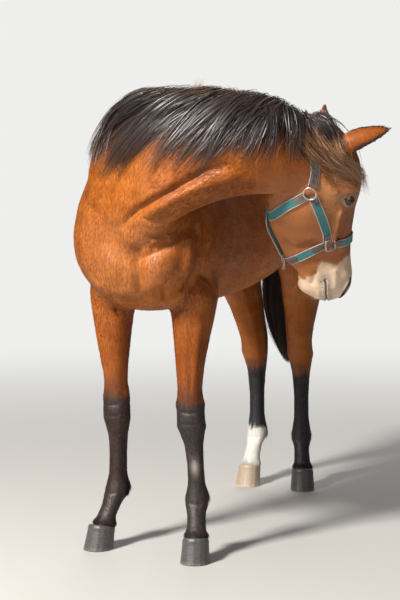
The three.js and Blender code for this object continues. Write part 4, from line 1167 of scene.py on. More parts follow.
# Places on the head: degrees round from the middle of the face over its left side to the jaw,
# millimetres from the poll towards the lips, and degrees of tilt up from level.
ROUND, SQUARE = (116, -166, 0), (73, -372, 0)
THROAT, CHIN = (180, -276, 0), (180, -446, 0)
NOSE, BACK = [(40, -380, 0), (0, -384, 0)], [(132, -402, 0)]
CHEEK, JOWL = [(92, -280, 0)], [(150, -216, 0)]
UNDER_JAW = [(180, -300, 0), (180, -360, 0), (180, -424, 0)]
CROWN = [(109, -108, 0), (112, -50, 8), (134, -20, 34), (180, -10, 60)]


def other_side(places, full_turn=360):
    return [(full_turn - turn, z, tilt) for turn, z, tilt in reversed(places)]


def on_hide(turn, z, tilt):
    around, up = math.radians(turn), math.radians(tilt)
    way = head_way(math.sin(around) * math.cos(up), -math.cos(around) * math.cos(up), math.sin(up))
    return np.array(hide_tree.ray_cast(head_spot(0, HALTER_HEART, z), way)[0])


def sampled(at, stations, rows):
    """The rows' values at places between their stations."""
    return np.stack([np.interp(at, stations, rows[:, k]) for k in range(3)], axis=1)


def strap_route(places, step=0.004):
    """Even stations along a strap: where its middle lies on the hide, its way, and outwards."""
    rough = np.array([on_hide(*place) for place in line_through(places, 10)])
    for _ in range(6):
        rough[1:-1] = (rough[:-2] + 2 * rough[1:-1] + rough[2:]) / 4
    run = np.concatenate([[0], np.cumsum(np.linalg.norm(np.diff(rough, axis=0), axis=1))])
    count = max(6, int(run[-1] / step))
    middle = sampled(np.linspace(0, run[-1], count + 1), run, rough)
    outward = np.array([hide_tree.find_nearest(Vector(place))[1] for place in middle])
    for _ in range(10):
        outward[1:-1] = (outward[:-2] + 2 * outward[1:-1] + outward[2:]) / 4
    way = np.gradient(middle, axis=0)
    way /= np.linalg.norm(way, axis=1)[:, None]
    outward -= way * np.sum(outward * way, axis=1)[:, None]
    outward /= np.linalg.norm(outward, axis=1)[:, None]
    # no part of the strap's width may sink into the hide
    across = np.cross(outward, way)
    rise = np.zeros(len(middle))
    for k, place in enumerate(middle):
        for edge in (-WEB_HALF, 0, WEB_HALF):
            spot_here = Vector(place + across[k] * edge)
            near, normal, _, _ = hide_tree.find_nearest(spot_here)
            rise[k] = max(rise[k], -(spot_here - near).dot(normal))
    for _ in range(4):
        rise[1:-1] = np.maximum(rise[1:-1], (rise[:-2] + 2 * rise[1:-1] + rise[2:]) / 4)
    return middle + outward * rise[:, None], way, outward, run[-1]


def part_of(route, begin, end):
    """The stretch of a strap's stations between two lengths from its start."""
    middle, way, outward, length = route
    stations = np.linspace(0, length, len(middle))
    count = max(4, int((end - begin) / 0.002))
    wanted = np.linspace(begin, end, count + 1)
    return [sampled(wanted, stations, rows) for rows in (middle, way, outward)] + [end - begin]


def band(name, route, half, thick, lift, round_end=0.0):
    """A flat band along a route, with its own map: metres along it, and -1 to 1 across."""
    middle, way, outward, length = route
    across = np.cross(outward, way)
    steps = len(middle) - 1
    bm = bmesh.new()
    bmesh.ops.create_grid(bm, x_segments=steps, y_segments=6, size=0.5)
    chart = bm.loops.layers.uv.new("strap")
    for face in bm.faces:
        for loop in face.loops:
            loop[chart].uv = ((loop.vert.co.x + 0.5) * length, loop.vert.co.y * 2)
    for vertex in bm.verts:
        k = round((vertex.co.x + 0.5) * steps)
        side = vertex.co.y * 2
        left = min(k, steps - k) * length / steps if round_end else 1.0
        if round_end and left < round_end and k > steps / 2:
            width = half * math.sqrt(max(0.02, 1 - (1 - left / round_end) ** 2))
        else:
            width = half
        above = lift - CAMBER * side * side
        vertex.co = middle[k] + across[k] * width * side + outward[k] * above
    bmesh.ops.recalc_face_normals(bm, faces=bm.faces)
    face = next(iter(bm.faces))
    face.normal_update()
    near = int(np.argmin(np.linalg.norm(middle - np.array(face.calc_center_median()), axis=1)))
    if face.normal.dot(Vector(outward[near])) < 0:
        bmesh.ops.reverse_faces(bm, faces=bm.faces)
    mesh = bpy.data.meshes.new(name)
    bm.to_mesh(mesh)
    bm.free()
    mesh.shade_smooth()
    piece = new_object(name, mesh)
    wall = piece.modifiers.new("thickness", "SOLIDIFY")
    wall.thickness = thick
    wall.offset = 1.0
    edge = piece.modifiers.new("soft edges", "BEVEL")
    edge.width = thick * 0.3
    edge.segments = 2
    edge.limit_method = "ANGLE"
    return piece


def cord_along(name, lines, radius, closed=False):
    """Round cords along the lines, as one mesh."""
    curve = bpy.data.curves.new(name, "CURVE")
    curve.dimensions = "3D"
    curve.bevel_depth = radius
    curve.bevel_resolution = 2
    curve.use_fill_caps = True
    for line in lines:
        spline = curve.splines.new("POLY")
        spline.points.add(len(line) - 1)
        four = np.concatenate([line, np.ones((len(line), 1))], axis=1)
        spline.points.foreach_set("co", four.ravel())
        spline.use_cyclic_u = closed
    holder = bpy.data.objects.new(name + "_line", curve)
    bpy.context.collection.objects.link(holder)
    finished = holder.evaluated_get(bpy.context.evaluated_depsgraph_get())
    mesh = bpy.data.meshes.new_from_object(finished)
    bpy.data.objects.remove(holder)
    mesh.name = name
    mesh.shade_smooth()
    return mesh


def strap_uv(tree):
    chart = node(tree, "ShaderNodeUVMap", uv_map="strap")
    parts = node(tree, "ShaderNodeSeparateXYZ", {"Vector": chart.outputs["UV"]})
    return parts.outputs["X"], parts.outputs["Y"]


webbing, tree, shader = new_material("teal webbing", 0.62)
along_strap, across_strap = strap_uv(tree)
warp = arithmetic(tree, "SINE", arithmetic(tree, "MULTIPLY", across_strap, WARP))
weft = arithmetic(tree, "SINE", arithmetic(tree, "MULTIPLY", along_strap, WEFT))
weave = arithmetic(tree, "MULTIPLY", warp, weft)
woven = laid_over(tree, ranged(tree, weave, (-1, 1), (0, 1)), TEAL_DEEP, TEAL)
worn = ranged(tree, grain(tree, 34), (0.45, 0.8), (0, 0.45))
wire(tree, laid_over(tree, worn, woven, TEAL_FADED), shader.inputs["Base Color"])
relief(tree, shader, weave, 0.0005)
shader.inputs["Sheen Weight"].default_value = 0.2

leather, tree, shader = new_material("stitched leather", 0.5)
along_strap, across_strap = strap_uv(tree)
tanned = two_tone(tree, grain(tree, 45, 4), (0.3, 0.75), LEATHER, LEATHER_WORN)
off_middle = arithmetic(tree, "ABSOLUTE", across_strap)
off_row = arithmetic(tree, "ABSOLUTE", arithmetic(tree, "SUBTRACT", off_middle, 0.74))
stitch = arithmetic(tree, "FRACT", arithmetic(tree, "MULTIPLY", along_strap, STITCHES))
thread = arithmetic(tree, "MULTIPLY", arithmetic(tree, "LESS_THAN", off_row, 0.07),
                    arithmetic(tree, "LESS_THAN", stitch, 0.62))
sewn = laid_over(tree, thread, tanned, THREAD)
rim = arithmetic(tree, "GREATER_THAN", off_middle, 0.9)
wire(tree, laid_over(tree, rim, sewn, CUT_EDGE), shader.inputs["Base Color"])
pebbles = arithmetic(tree, "MULTIPLY", cells(tree, 620), 0.5)
relief(tree, shader, arithmetic(tree, "ADD", pebbles, thread), 0.0004)

binding, tree, shader = new_material("pale binding", 0.7)
fibres = grain(tree, 700)
spun = two_tone(tree, fibres, (0.3, 0.7), BINDING_SHADE, BINDING_PALE)
wire(tree, spun, shader.inputs["Base Color"])
relief(tree, shader, fibres, 0.0003)


def halter_strap(name, places, tabs, trims, stands_for=None, twist=0):
    """One strap between its rings: webbing, its two bound edges, and a leather tab of each given
    length at its ends. A tab length below zero lies at the strap's far end."""
    whole = strap_route(places)
    route = part_of(whole, trims[0], whole[3] - trims[1])
    middle, way, outward, length = route
    if twist:
        outward = outward * math.cos(twist) + np.cross(way, outward) * math.sin(twist)
        route = middle, way, outward, length
    web = band(name + "_webbing", route, WEB_HALF, WEB_THICK, UNDER_STRAP)
    web.data.materials.append(webbing)
    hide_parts(stands_for or name)
    across = np.cross(outward, way)
    top = UNDER_STRAP + WEB_THICK * 0.5
    edges = [middle + across * side * (WEB_HALF + 0.0004) + outward * top for side in (-1, 1)]
    cord_mesh = cord_along(name + "_binding", edges, BINDING)
    cord_mesh.materials.append(binding)
    cord_piece = new_object(name + "_binding", cord_mesh)
    for k, tab in enumerate(tabs):
        stretch = part_of(route, 0, tab) if tab > 0 else part_of(route, length + tab, length)
        if tab < 0:
            stretch = [stretch[0][::-1], -stretch[1][::-1], stretch[2][::-1], stretch[3]]
        piece = band(f"{name}_tab_{k + 1}", stretch, TAB_HALF, TAB_THICK,
                     UNDER_STRAP + WEB_THICK, round_end=0.018)
        piece.data.materials.append(leather)


AT_ROUND, AT_SQUARE, AT_CHIN = 0.0175, 0.0125, 0.008
TWIST = 0.6  # the strap under the jaw hangs a little turned to the right
side_strap, chin_strap = [ROUND, *CHEEK, SQUARE], [SQUARE, *BACK, CHIN]
to_square, to_chin = (AT_ROUND, AT_SQUARE), (AT_SQUARE, AT_CHIN)
between_rings = (AT_ROUND, AT_ROUND)
halter_strap("halter_cheek_left", side_strap, [0.030, -0.032], to_square)
halter_strap("halter_cheek_right", other_side(side_strap)[::-1], [0.030, -0.032], to_square)
halter_strap("halter_noseband", [SQUARE, *NOSE, *other_side([SQUARE, NOSE[0]], 0)],
             [0.040, -0.040], (AT_SQUARE, AT_SQUARE))
halter_strap("halter_backband_left", chin_strap, [0.046, -0.040], to_chin, "halter_backband")
halter_strap("halter_backband_right", other_side(chin_strap)[::-1], [0.046, -0.040], to_chin,
             "halter_backband")
halter_strap("halter_throat", [ROUND, *JOWL, THROAT, *other_side([ROUND, *JOWL])],
             [0.044, -0.044], between_rings)
halter_strap("halter_crown", [ROUND, *CROWN, *other_side([ROUND, *CROWN[:-1]])],
             [0.056, -0.056], between_rings)
halter_strap("halter_underjaw", [THROAT, *UNDER_JAW], [-0.030], (0.004, 0.004), twist=TWIST)

# ---- Halter: steel fittings ------------------------------------------------------------------
# Round rings on the cheeks, rounded square ones beside the nose, and a ring with its small swivel
# under the chin. All are bent from drawn wire, welded, and dulled by use.

RING_WIRE, SQUARE_WIRE, CHIN_WIRE = 0.0027, 0.0024, 0.0023
SQUARE_LONG, SQUARE_HIGH = 0.0175, 0.0180  # half sizes to the middle of the wire
SQUARENESS = 7.0
STUD_TOP, STUD_FOOT, STUD_LONG, STUD_DROP = 0.0048, 0.0062, 0.011, 0.021
STEEL_DULL, STEEL_RUBBED = (0.42, 0.35, 0.30), (0.68, 0.62, 0.56)

steel, tree, shader = new_material("dulled steel")
wear = grain(tree, 160, 5)
wire(tree, two_tone(tree, wear, (0.3, 0.65), STEEL_DULL, STEEL_RUBBED), shader.inputs["Base Color"])
wire(tree, ranged(tree, wear, (0, 1), (0.5, 0.24)), shader.inputs["Roughness"])
shader.inputs["Metallic"].default_value = 0.9


def lying_plane(name):
    """The middle of a ring of the model, its own three axes, and its half sizes along them."""
    points = coordinates(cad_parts[name].data)
    middle = (points.min(axis=0) + points.max(axis=0)) / 2
    _, _, ways = np.linalg.svd(points - points.mean(axis=0), full_matrices=False)
    off = points - middle
    return middle, ways, np.abs(off @ ways.T).max(axis=0)


def steel_piece(name, mesh, node_name):
    mesh.materials.append(steel)
    piece = new_object(name, mesh)
    if node_name:
        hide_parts(node_name)


for name, wire_size in (("halter_ring_left", RING_WIRE), ("halter_ring_right", RING_WIRE),
                        ("halter_ring_chin", CHIN_WIRE)):
    middle, ways, size = lying_plane(name)
    radius = (size[0] + size[1]) / 2 - wire_size
    turns = np.linspace(0, 2 * np.pi, 49)[:-1, None]
    circle = middle + radius * (np.cos(turns) * ways[0] + np.sin(turns) * ways[1])
    ring = cord_along(name + "_steel", [circle], wire_size, closed=True)
    steel_piece(name + "_steel", ring, name)
for side, name in ((1, "halter_square_left"), (-1, "halter_square_right")):
    middle, (_, _, outward), _ = lying_plane(name)
    outward = outward * np.sign(outward @ np.array(head_way(side, 0, 0)))
    noseward = np.array(head_way(side * -0.42, -0.9, 0.06))
    noseward -= outward * (noseward @ outward)
    noseward /= np.linalg.norm(noseward)
    upward = np.cross(outward, noseward)
    turns = np.linspace(0, 2 * np.pi, 65)[:-1]
    cosines, sines = np.cos(turns), np.sin(turns)
    reach_out = (np.abs(cosines) ** SQUARENESS + np.abs(sines) ** SQUARENESS) ** (-1 / SQUARENESS)
    line = (middle + np.outer(reach_out * cosines * SQUARE_LONG, noseward)
            + np.outer(reach_out * sines * SQUARE_HIGH, upward))
    ring = cord_along(name + "_steel", [line], SQUARE_WIRE, closed=True)
    steel_piece(name + "_steel", ring, name)

# The swivel that hangs from the chin ring: a turned stud with a rounded end.
middle, _, _ = lying_plane("halter_ring_chin")
bm = bmesh.new()
bmesh.ops.create_cone(bm, cap_ends=True, segments=24, radius1=STUD_FOOT, radius2=STUD_TOP,
                      depth=STUD_LONG)
bmesh.ops.bevel(bm, geom=list(bm.edges), affect="EDGES", offset=0.0013, segments=3, profile=0.5,
                material=-1)
bmesh.ops.translate(bm, verts=bm.verts, vec=Vector(middle) + Vector((0, 0, -STUD_DROP)))
stud = bpy.data.meshes.new("halter_stud")
bm.to_mesh(stud)
bm.free()
stud.shade_smooth()
steel_piece("halter_stud", stud, None)

# ---- Long hair: the mane ---------------------------------------------------------------------
# Coarse black-brown hair rooted along the crest. It is swept back over the right side of the
# neck in flat shining locks, brown where the sun has bleached it on top and at its ends, with a
# painted grey sheen along the middles of the locks.

HAIR_PATCH = 0.003  # size of a lock's place on the map that bakes its colour
LOCK_STEPS = 13
DOWN = Vector((0, 0, -1))
CREST = [spot(*point) for point in (
    (-24, 262, 1600), (-22, 185, 1600), (-8, 20, 1600), (84, -112, 1600), (236, -190, 1600),
    (392, -185, 1600), (512, -120, 1600), (596, -60, 1600), (628, -36, 1600))]

BLACK = (0.020, 0.013, 0.011)
BROWN = (0.11, 0.040, 0.014)
BLEACHED = (0.34, 0.155, 0.068)
# painted sheen: grey laid along the middles of the mane's and the tail's locks, and on some tail
# tips
SHEEN_GREY = (0.052, 0.042, 0.046)
STRAW = (0.62, 0.39, 0.24)

# From the withers to the poll: how far the hair is swept along the crest against its fall,
# its length, and how high it stands off the neck.
SWEEP_PLACES = [0, 0.12, 0.24, 0.34, 0.45, 0.6, 0.72, 0.82, 0.92, 1]
SWEEP = [1.0, 0.9, 0.6, -0.5, -1.35, -1.45, -0.8, 0.4, 1.2, 1.5]
MANE_LENGTH = [0.08, 0.13, 0.28, 0.50, 0.64, 0.47, 0.33, 0.25, 0.21, 0.19]
MANE_LIFT = [0.3, 0.7, 1.0, 1.1, 0.9, 0.8, 0.6, 0.25, 0.12, 0.1]

# The lowest the mane hangs, from the neck's root back over the shoulder.
HANG_BACK, HANG_LOW = [-270, -190, -120, 60], [1230, 1285, 1345, 1400]
ROWS = 230
THIN_FROM, THIN_SHARE = 0.74, 0.4  # the mane thins towards the poll
TUFT_FROM, TUFT_TO, TUFT_HIGH = 0.46, 0.53, 0.07  # where on the crest hair is blown up


def without_ears(mesh):
    """The hide for hair to lie on: hair parts round the ears instead of climbing them."""
    places = coordinates(mesh)
    ears = on_ear("ear_right", places) + on_ear("ear_left", places) > 0.02
    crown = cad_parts["head"].data  # closes the gaps where the ears were
    return BVHTree.FromPolygons(
        [vertex.co for vertex in mesh.vertices] + [vertex.co for vertex in crown.vertices],
        [p.vertices[:] for p in mesh.polygons if not ears[p.vertices[0]]]
        + [[k + len(mesh.vertices) for k in p.vertices] for p in crown.polygons])


hair_tree = without_ears(hide)


def along(points, t):
    """Place and direction at t, from 0 to 1, on a smooth line through the points."""
    run = min(max(t, 0), 1) * (len(points) - 1)
    i = min(int(run), len(points) - 2)
    f = run - i
    a, b, c, d = (points[min(max(i + k, 0), len(points) - 1)] for k in (-1, 0, 1, 2))
    return between(a, b, c, d, f), (c - b).normalized()


def fall(root, heading, pulls, length, lift, steps=LOCK_STEPS, stiffness=0.34):
    """A lock's path: it leaves its root along heading, then lies over the hide, drawn by a pull
    that changes evenly from the first of the given two to the last."""
    path, place, way = [root.copy()], root.copy(), heading.normalized()
    step = length / steps
    for turn in range(steps):
        pull = pulls[0].lerp(pulls[1], turn / steps)
        near, normal, _, _ = hair_tree.find_nearest(place)
        want = pull - normal * pull.dot(normal) * (1 if pull.dot(normal) < 0 else 0.6)
        way = way.lerp(want.normalized(), stiffness).normalized()
        place = place + way * step
        near, normal, _, _ = hair_tree.find_nearest(place)
        gap = (place - near).dot(normal)
        rest = lift * (1 - 0.75 * turn / steps) + 0.002
        if gap < rest:
            place = place + normal * (rest - gap)
        elif gap < 0.12:
            place = place - normal * min(gap - rest, step * 0.4)
        path.append(place.copy())
    return path


def through_ear(path):
    """Whether a path runs into an ear."""
    places = np.array(path)
    for ear in EARS:
        length, front, across = ear_frame(ear, places)
        if np.any((length > 14) & (length < 200) & (np.hypot(front, across) < 58)):
            return True
    return False


def outward_along(path):
    return [hair_tree.find_nearest(place)[1] for place in path]


def ribbons(name, locks, seed):
    """Joins locks into one mesh of narrow tapering bands. Each lock is a dict: path, outward,
    count of hairs, spread, width, tints from root to tip, raggedness, and its place on the map."""
    dice = np.random.default_rng(seed)
    all_points, all_colours, all_maps, faces = [], [], [], []
    start = 0
    for lock in locks:
        path = np.array(lock["path"])
        n = len(path)
        tangent = np.gradient(path, axis=0)
        tangent /= np.linalg.norm(tangent, axis=1)[:, None] + 1e-9
        outward = np.array(lock["outward"])
        across = np.cross(tangent, outward)
        across /= np.linalg.norm(across, axis=1)[:, None] + 1e-9
        t = np.linspace(0, 1, n)
        tints = np.array(lock["tints"])
        for _ in range(lock["count"]):
            side, rise = dice.normal(0, 0.5), abs(dice.normal(0, 0.35))
            end = 1 - lock["ragged"] * dice.random() ** 1.5
            reach = t * end
            core, sideways, upwards = (sampled(reach, t, rows) for rows in (path, across, outward))
            open_out = lock["spread"] * (1.0 - 0.55 * reach + 0.2 * np.sin(reach * np.pi))
            wave = 0.12 * np.sin(reach * (4 + 3 * dice.random()) + dice.random() * 6.3)
            aside = open_out * (side + wave)
            above = open_out * 0.5 * (rise + 0.4 * wave * reach)
            middle = core + sideways * aside[:, None] + upwards * above[:, None]
            tilt = dice.normal(0, 0.45)
            flat = sideways * math.cos(tilt) + upwards * math.sin(tilt)
            half = lock["width"] * (0.6 + 0.6 * dice.random()) * (1 - 0.88 * t ** 1.8) * 0.5
            points = np.empty((2 * n, 3))
            points[0::2] = middle - flat * half[:, None]
            points[1::2] = middle + flat * half[:, None]
            shade = 0.7 + 0.6 * dice.random()
            mix = np.clip(t + dice.normal(0, 0.08), 0, 1)
            colour = sampled(mix, np.linspace(0, 1, len(tints)), tints)
            all_colours.append(np.repeat(colour * shade, 2, axis=0))
            all_points.append(points)
            u, v = lock["map"]
            patch = np.empty((2 * n, 2))
            patch[0::2] = np.stack([np.full(n, u), v + t * HAIR_PATCH], axis=1)
            patch[1::2] = np.stack([np.full(n, u + HAIR_PATCH), v + t * HAIR_PATCH], axis=1)
            all_maps.append(patch)
            k = start + 2 * np.arange(n - 1)
            faces.append(np.stack([k, k + 1, k + 3, k + 2], axis=1))
            start += 2 * n
    points, faces, colours, chart = (
        np.concatenate(parts) for parts in (all_points, faces, all_colours, all_maps))
    return blade_mesh(name, points, faces, colours, chart, "hair_colour")


def blade_mesh(name, points, faces, colours, chart, colour_name):
    """A mesh of many small blades, with its colours and its baking map."""
    sides = faces.shape[1]
    mesh = bpy.data.meshes.new(name)
    corners = faces.astype(np.int32).ravel()
    mesh.vertices.add(len(points))
    mesh.vertices.foreach_set("co", points.ravel())
    mesh.loops.add(corners.size)
    mesh.loops.foreach_set("vertex_index", corners)
    mesh.polygons.add(len(faces))
    mesh.polygons.foreach_set("loop_start", np.arange(0, corners.size, sides, dtype=np.int32))
    mesh.update(calc_edges=True)
    paint_attribute(mesh, colour_name, colours)
    baking = mesh.uv_layers.new(name="OFBake")
    baking.data.foreach_set("uv", chart[corners].astype(np.float32).ravel())
    mesh.shade_smooth()
    mesh.validate()
    return mesh


# The map for baking: one cell for each node of flesh and each of the six ways the hide can face,
# with the hide laid flat in it at its true proportions.
FLESH_BOXES = [tuple(np.array(corner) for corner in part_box(name)) for name in FLESH]


def map_places(places, outward):
    gaps = [np.linalg.norm(np.maximum(0, np.maximum(low - places, places - high)), axis=1)
            + 0.02 * np.linalg.norm(high - low) for low, high in FLESH_BOXES]
    region = np.argmin(gaps, axis=0)
    axis = np.abs(outward).argmax(axis=1)
    facing = outward[np.arange(len(outward)), axis] > 0
    lows = np.array([low for low, _ in FLESH_BOXES])[region] - 0.03
    size = np.array([(high - low).max() for low, high in FLESH_BOXES])[region] + 0.06
    off = (places - lows) / size[:, None]
    first = np.where(axis == 0, off[:, 1], off[:, 0])
    second = np.where(axis == 2, off[:, 1], off[:, 2])
    across = (region + 0.02 + 0.94 * np.clip(first, 0, 1)) / len(FLESH)
    upwards = (axis * 2 + facing + 0.02 + 0.94 * np.clip(second, 0, 1)) / 6
    return np.stack([across, upwards], axis=1)


def map_of(place):
    near, normal, _, _ = hair_tree.find_nearest(place)
    return tuple(map_places(np.array([near]), np.array([normal]))[0])


long_hair, tree, shader = new_material("long black hair", 0.40)
hairs = strand_tone(tree, painted(tree, "hair_colour"), grain(tree, 260), (0, 1), (0.7, 1.3))
wire(tree, hairs, shader.inputs["Base Color"])
shader.inputs["Specular IOR Level"].default_value = 0.55
shader.inputs["Sheen Weight"].default_value = 0.04
shader.inputs["Sheen Roughness"].default_value = 0.35


def blend(a, b, f):
    return tuple(x + (y - x) * f for x, y in zip(a, b))


def mane_lock(t, layer, dice):
    place, forward = along(CREST, t)
    right = forward.cross(-DOWN).normalized()
    hit, _, _, _ = hair_tree.ray_cast(place + right * dice.normal(0.002, 0.011), DOWN)
    if hit is None:
        return None
    sweep = float(np.interp(t, SWEEP_PLACES, SWEEP)) + dice.normal(0, 0.25)
    length = float(np.interp(t, SWEEP_PLACES, MANE_LENGTH)) * (0.72 + 0.4 * dice.random())
    length *= 0.8 + 0.2 * layer
    lift = (0.006 + 0.026 * layer) * float(np.interp(t, SWEEP_PLACES, MANE_LIFT))
    heading = right * (0.7 + 0.2 * dice.random()) - DOWN * (0.1 + 0.5 * layer)
    heading += forward * sweep * 0.35
    first = DOWN * 0.7 + forward * sweep + right * 0.5
    last = DOWN * 1.3 + forward * sweep * 0.8 + right * 0.05
    path = fall(hit, heading, (first, last), length, lift)
    if through_ear(path):
        return None
    _, y, z = to_drawing(np.array(path)).T
    low = np.flatnonzero(z < np.interp(y, HANG_BACK, HANG_LOW))
    path = path[:low[0]] if len(low) else path
    if len(path) < 5:
        return None
    path = [along(path, k / LOCK_STEPS)[0] for k in range(LOCK_STEPS + 1)]
    fresh = dice.random()
    root = blend(BLACK, BLEACHED, (0.9 if t < 0.5 else 0.7) * fresh * layer)
    middle = blend(BLACK, SHEEN_GREY, 0.75 * dice.random())
    tip = blend(BLACK, BROWN, 0.3 + 0.9 * dice.random())
    return {
        "path": path, "outward": outward_along(path), "count": 27, "spread": 0.028,
        "width": 0.0023, "tints": [root, middle, middle, middle, tip], "ragged": 0.42,
        "map": map_of(hit),
    }


def hair_piece(name, locks, seed, node_name):
    piece = new_object(name, ribbons(name, [lock for lock in locks if lock], seed))
    piece.data.materials.append(long_hair)
    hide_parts(node_name)


dice = np.random.default_rng(11)
for layer, name in ((0, "mane_under"), (0.5, "mane_middle"), (1, "mane_top")):
    places = [(i + dice.random()) / ROWS for i in range(ROWS)]
    locks = [mane_lock(t, layer, dice) for t in places
             if t < THIN_FROM or dice.random() < THIN_SHARE]
    for _ in range(4 if layer == 1 else 0):  # a blown tuft that stands up from the crest
        root, forward = along(CREST, dice.uniform(TUFT_FROM, TUFT_TO))
        hit, _, _, _ = hair_tree.ray_cast(root, DOWN)
        heading = Vector((dice.normal(0.1, 0.25), dice.normal(-0.1, 0.2), 1)) + forward * 0.3
        steps = [k / LOCK_STEPS for k in range(LOCK_STEPS + 1)]
        locks.append({
            "path": [hit + heading.normalized() * TUFT_HIGH * t + forward * 0.02 * t ** 2
                     for t in steps],
            "outward": [Vector((0.4, -0.9, 0)) for _ in steps],
            "count": 14, "spread": 0.014, "width": 0.0016,
            "tints": [BROWN, BLEACHED, BLEACHED, STRAW], "ragged": 0.5, "map": map_of(hit),
        })
    hair_piece(name, locks, 12, "mane")

# ---- Long hair: the tail ---------------------------------------------------------------------
# The dock is a short bony stem clothed in hair that hangs almost to the fetlocks, drawn a little
# to the horse's right, full in the middle and thin at the end.

TAIL = [spot(*point) for point in (
    (-44, 1356, 1362), (-44, 1402, 1340), (-48, 1438, 1284), (-60, 1452, 1180), (-82, 1448, 1040),
    (-104, 1430, 890), (-112, 1404, 740), (-92, 1382, 610), (-58, 1372, 510), (-44, 1370, 470))]
TAIL_HALF = [0.020, 0.027, 0.034, 0.044, 0.056, 0.064, 0.060, 0.046, 0.028, 0.012]


def tail_lock(dice, loose=False):
    angle = dice.random() * 2 * math.pi
    out = (0.9 + 0.55 * dice.random()) if loose else (0.25 + 0.72 * dice.random() ** 0.6)
    begin = 0.30 * dice.random() ** 1.3
    end = 0.72 + 0.28 * dice.random() ** 0.7
    path, outward = [], []
    for i in range(15):
        t = begin + (end - begin) * i / 14
        place, way = along(TAIL, t)
        wide = Vector((1, 0, 0))
        back = way.cross(wide).normalized()
        half = float(np.interp(t, np.linspace(0, 1, len(TAIL_HALF)), TAIL_HALF))
        share = 0.35 + 2.2 * (t - begin) / max(end - begin, 0.01) + out * 0.3
        direction = wide * math.cos(angle + 0.5 * t) + back * math.sin(angle + 0.5 * t) * 0.8
        path.append(place + direction * (half * out * min(1, share)))
        outward.append(direction)
    # painted sheen: grey along the middle and at the tip of each tail lock
    middle = blend(BLACK, SHEEN_GREY, 1.6 * dice.random() ** 2)
    tip = blend(BROWN, SHEEN_GREY, dice.random())
    return {
        "path": path, "outward": outward, "count": 9 if loose else 22, "spread": 0.020,
        "width": 0.0036, "tints": [BLACK, middle, middle, tip], "ragged": 0.3,
        "map": map_of(path[0]),
    }


dice = np.random.default_rng(21)
locks = [tail_lock(dice) for _ in range(230)] + [tail_lock(dice, loose=True) for _ in range(70)]
hair_piece("tail_hair", locks, 22, "tail")

# ---- Long hair: the forelock -----------------------------------------------------------------
# Hair from between the ears that is blown over the brow and the right temple, below the right
# ear. It is thinner than the mane and bleached to straw at its ends.

OVER_TEMPLE = [(-30, 46, 30), (-64, 14, -20), (-88, -30, -66), (-84, -72, -108), (-62, -106, -150),
               (-46, -116, -196), (-42, -118, -236)]
OVER_STRAP = [(-3, 88, 51), (-60, 64, -3), (-75, 11, -55), (-74, -38, -96), (-66, -78, -140),
              (-50, -108, -180), (-44, -120, -216)]
OVER_BROW = [(4, 20, 26), (-10, -30, 8), (-26, -76, -44), (-42, -98, -100), (-56, -108, -158),
             (-62, -112, -214)]
STRAP_SHARE, TEMPLE_SHARE = 0.36, 0.88  # of the locks, counted up; the rest lie on the brow
BLOWN = head_way(-0.35, -1, -0.25)  # the way the wind lifts the tips


def forelock_lock(dice):
    course = dice.random()
    strap, temple = course < STRAP_SHARE, course < TEMPLE_SHARE
    points = OVER_STRAP if strap else OVER_TEMPLE if temple else OVER_BROW
    line = [head_spot(*point) for point in points]
    loose = dice.uniform(0, 0.036) if temple else 0
    aside = dice.normal(0, 0.024)
    lift = dice.uniform(0.010, 0.020) if strap else dice.uniform(0.002, 0.018)
    reach = dice.uniform(0.42, 1.0) if temple else dice.uniform(0.3, 0.75)
    bend = dice.normal(0, 0.020)
    path = []
    for k in range(13):
        t = k / 12
        place, way = along(line, t * reach)
        near, normal, _, _ = hair_tree.find_nearest(place)
        across = way.cross(normal).normalized()
        place = place + across * (aside * (1 - 0.55 * t) + bend * math.sin(3 * t + aside * 300))
        near, normal, _, _ = hair_tree.find_nearest(place)
        path.append(near + normal * (0.003 + lift * math.sin(math.pi * min(1, 0.15 + t)))
                    + BLOWN * loose * max(0, (t * reach - 0.5) / 0.5) ** 1.3)
    if through_ear(path):
        return None
    middle = blend(BLACK, BROWN, dice.random())
    return {
        "path": path, "outward": outward_along(path), "count": 8, "spread": 0.0085,
        "width": 0.0015,
        "tints": [BLACK, middle, blend(BROWN, BLEACHED, dice.random()),
                  blend(BLEACHED, STRAW, dice.random()), blend(BLEACHED, STRAW, dice.random())],
        "ragged": 0.65, "map": map_of(path[0]),
    }


dice = np.random.default_rng(31)
locks = [forelock_lock(dice) for _ in range(230)]
hair_piece("forelock_hair", locks, 32, "forelock")

# ---- Coat: tufts -----------------------------------------------------------------------------
# The short summer coat seen from every side: fine flat blades of hair rooted all over the hide.
# They lie the way the coat does and are longest at the fetlocks and shortest round the muzzle.

NO_HAIR = 0.45  # how bare a place may be and still carry hair
BLADE_RISE = 0.16  # how steeply a blade leaves the hide
FACE_HAIR, MUZZLE_HAIR, BODY_HAIR, LEG_HAIR = 0.0050, 0.0028, 0.0115, 0.0075
EAR_HAIR, POLL_HAIR, CORONET_HAIR, FETLOCK_HAIR = 0.0045, 0.009, 0.016, 0.026
FETLOCK = 205  # its height, in millimetres

tuft_material, tree, shader = new_material("bay tufts", 0.55)
wire(tree, painted(tree, "coat_colour"), shader.inputs["Base Color"])
shader.inputs["Specular IOR Level"].default_value = 0.2


def lie_ways(places, outward):
    """Which way the coat lies at places on the hide, as unit vectors along its surface."""
    ways = lie_shares(places) @ LIES
    ways[within_head(to_head(places), 20)] = np.array(head_way(0, 0.25, -1))
    for ear, (_, tip, _) in EARS.items():
        ways[on_ear(ear, places) > 0.3] = np.array(tip) / np.linalg.norm(tip)
    ways -= outward * np.sum(ways * outward, axis=1)[:, None]
    size = np.linalg.norm(ways, axis=1)
    ways[size < 0.05] = np.cross(outward[size < 0.05], (1, 0, 0.2))
    return ways / np.maximum(np.linalg.norm(ways, axis=1), 1e-6)[:, None]


def behind_fetlock(limb, from_side):
    at_height = np.exp(-(((limb[:, 2] - FETLOCK) / 28) ** 2))
    return smoothstep(from_side, -0.5, limb[:, 1] / 30) * at_height


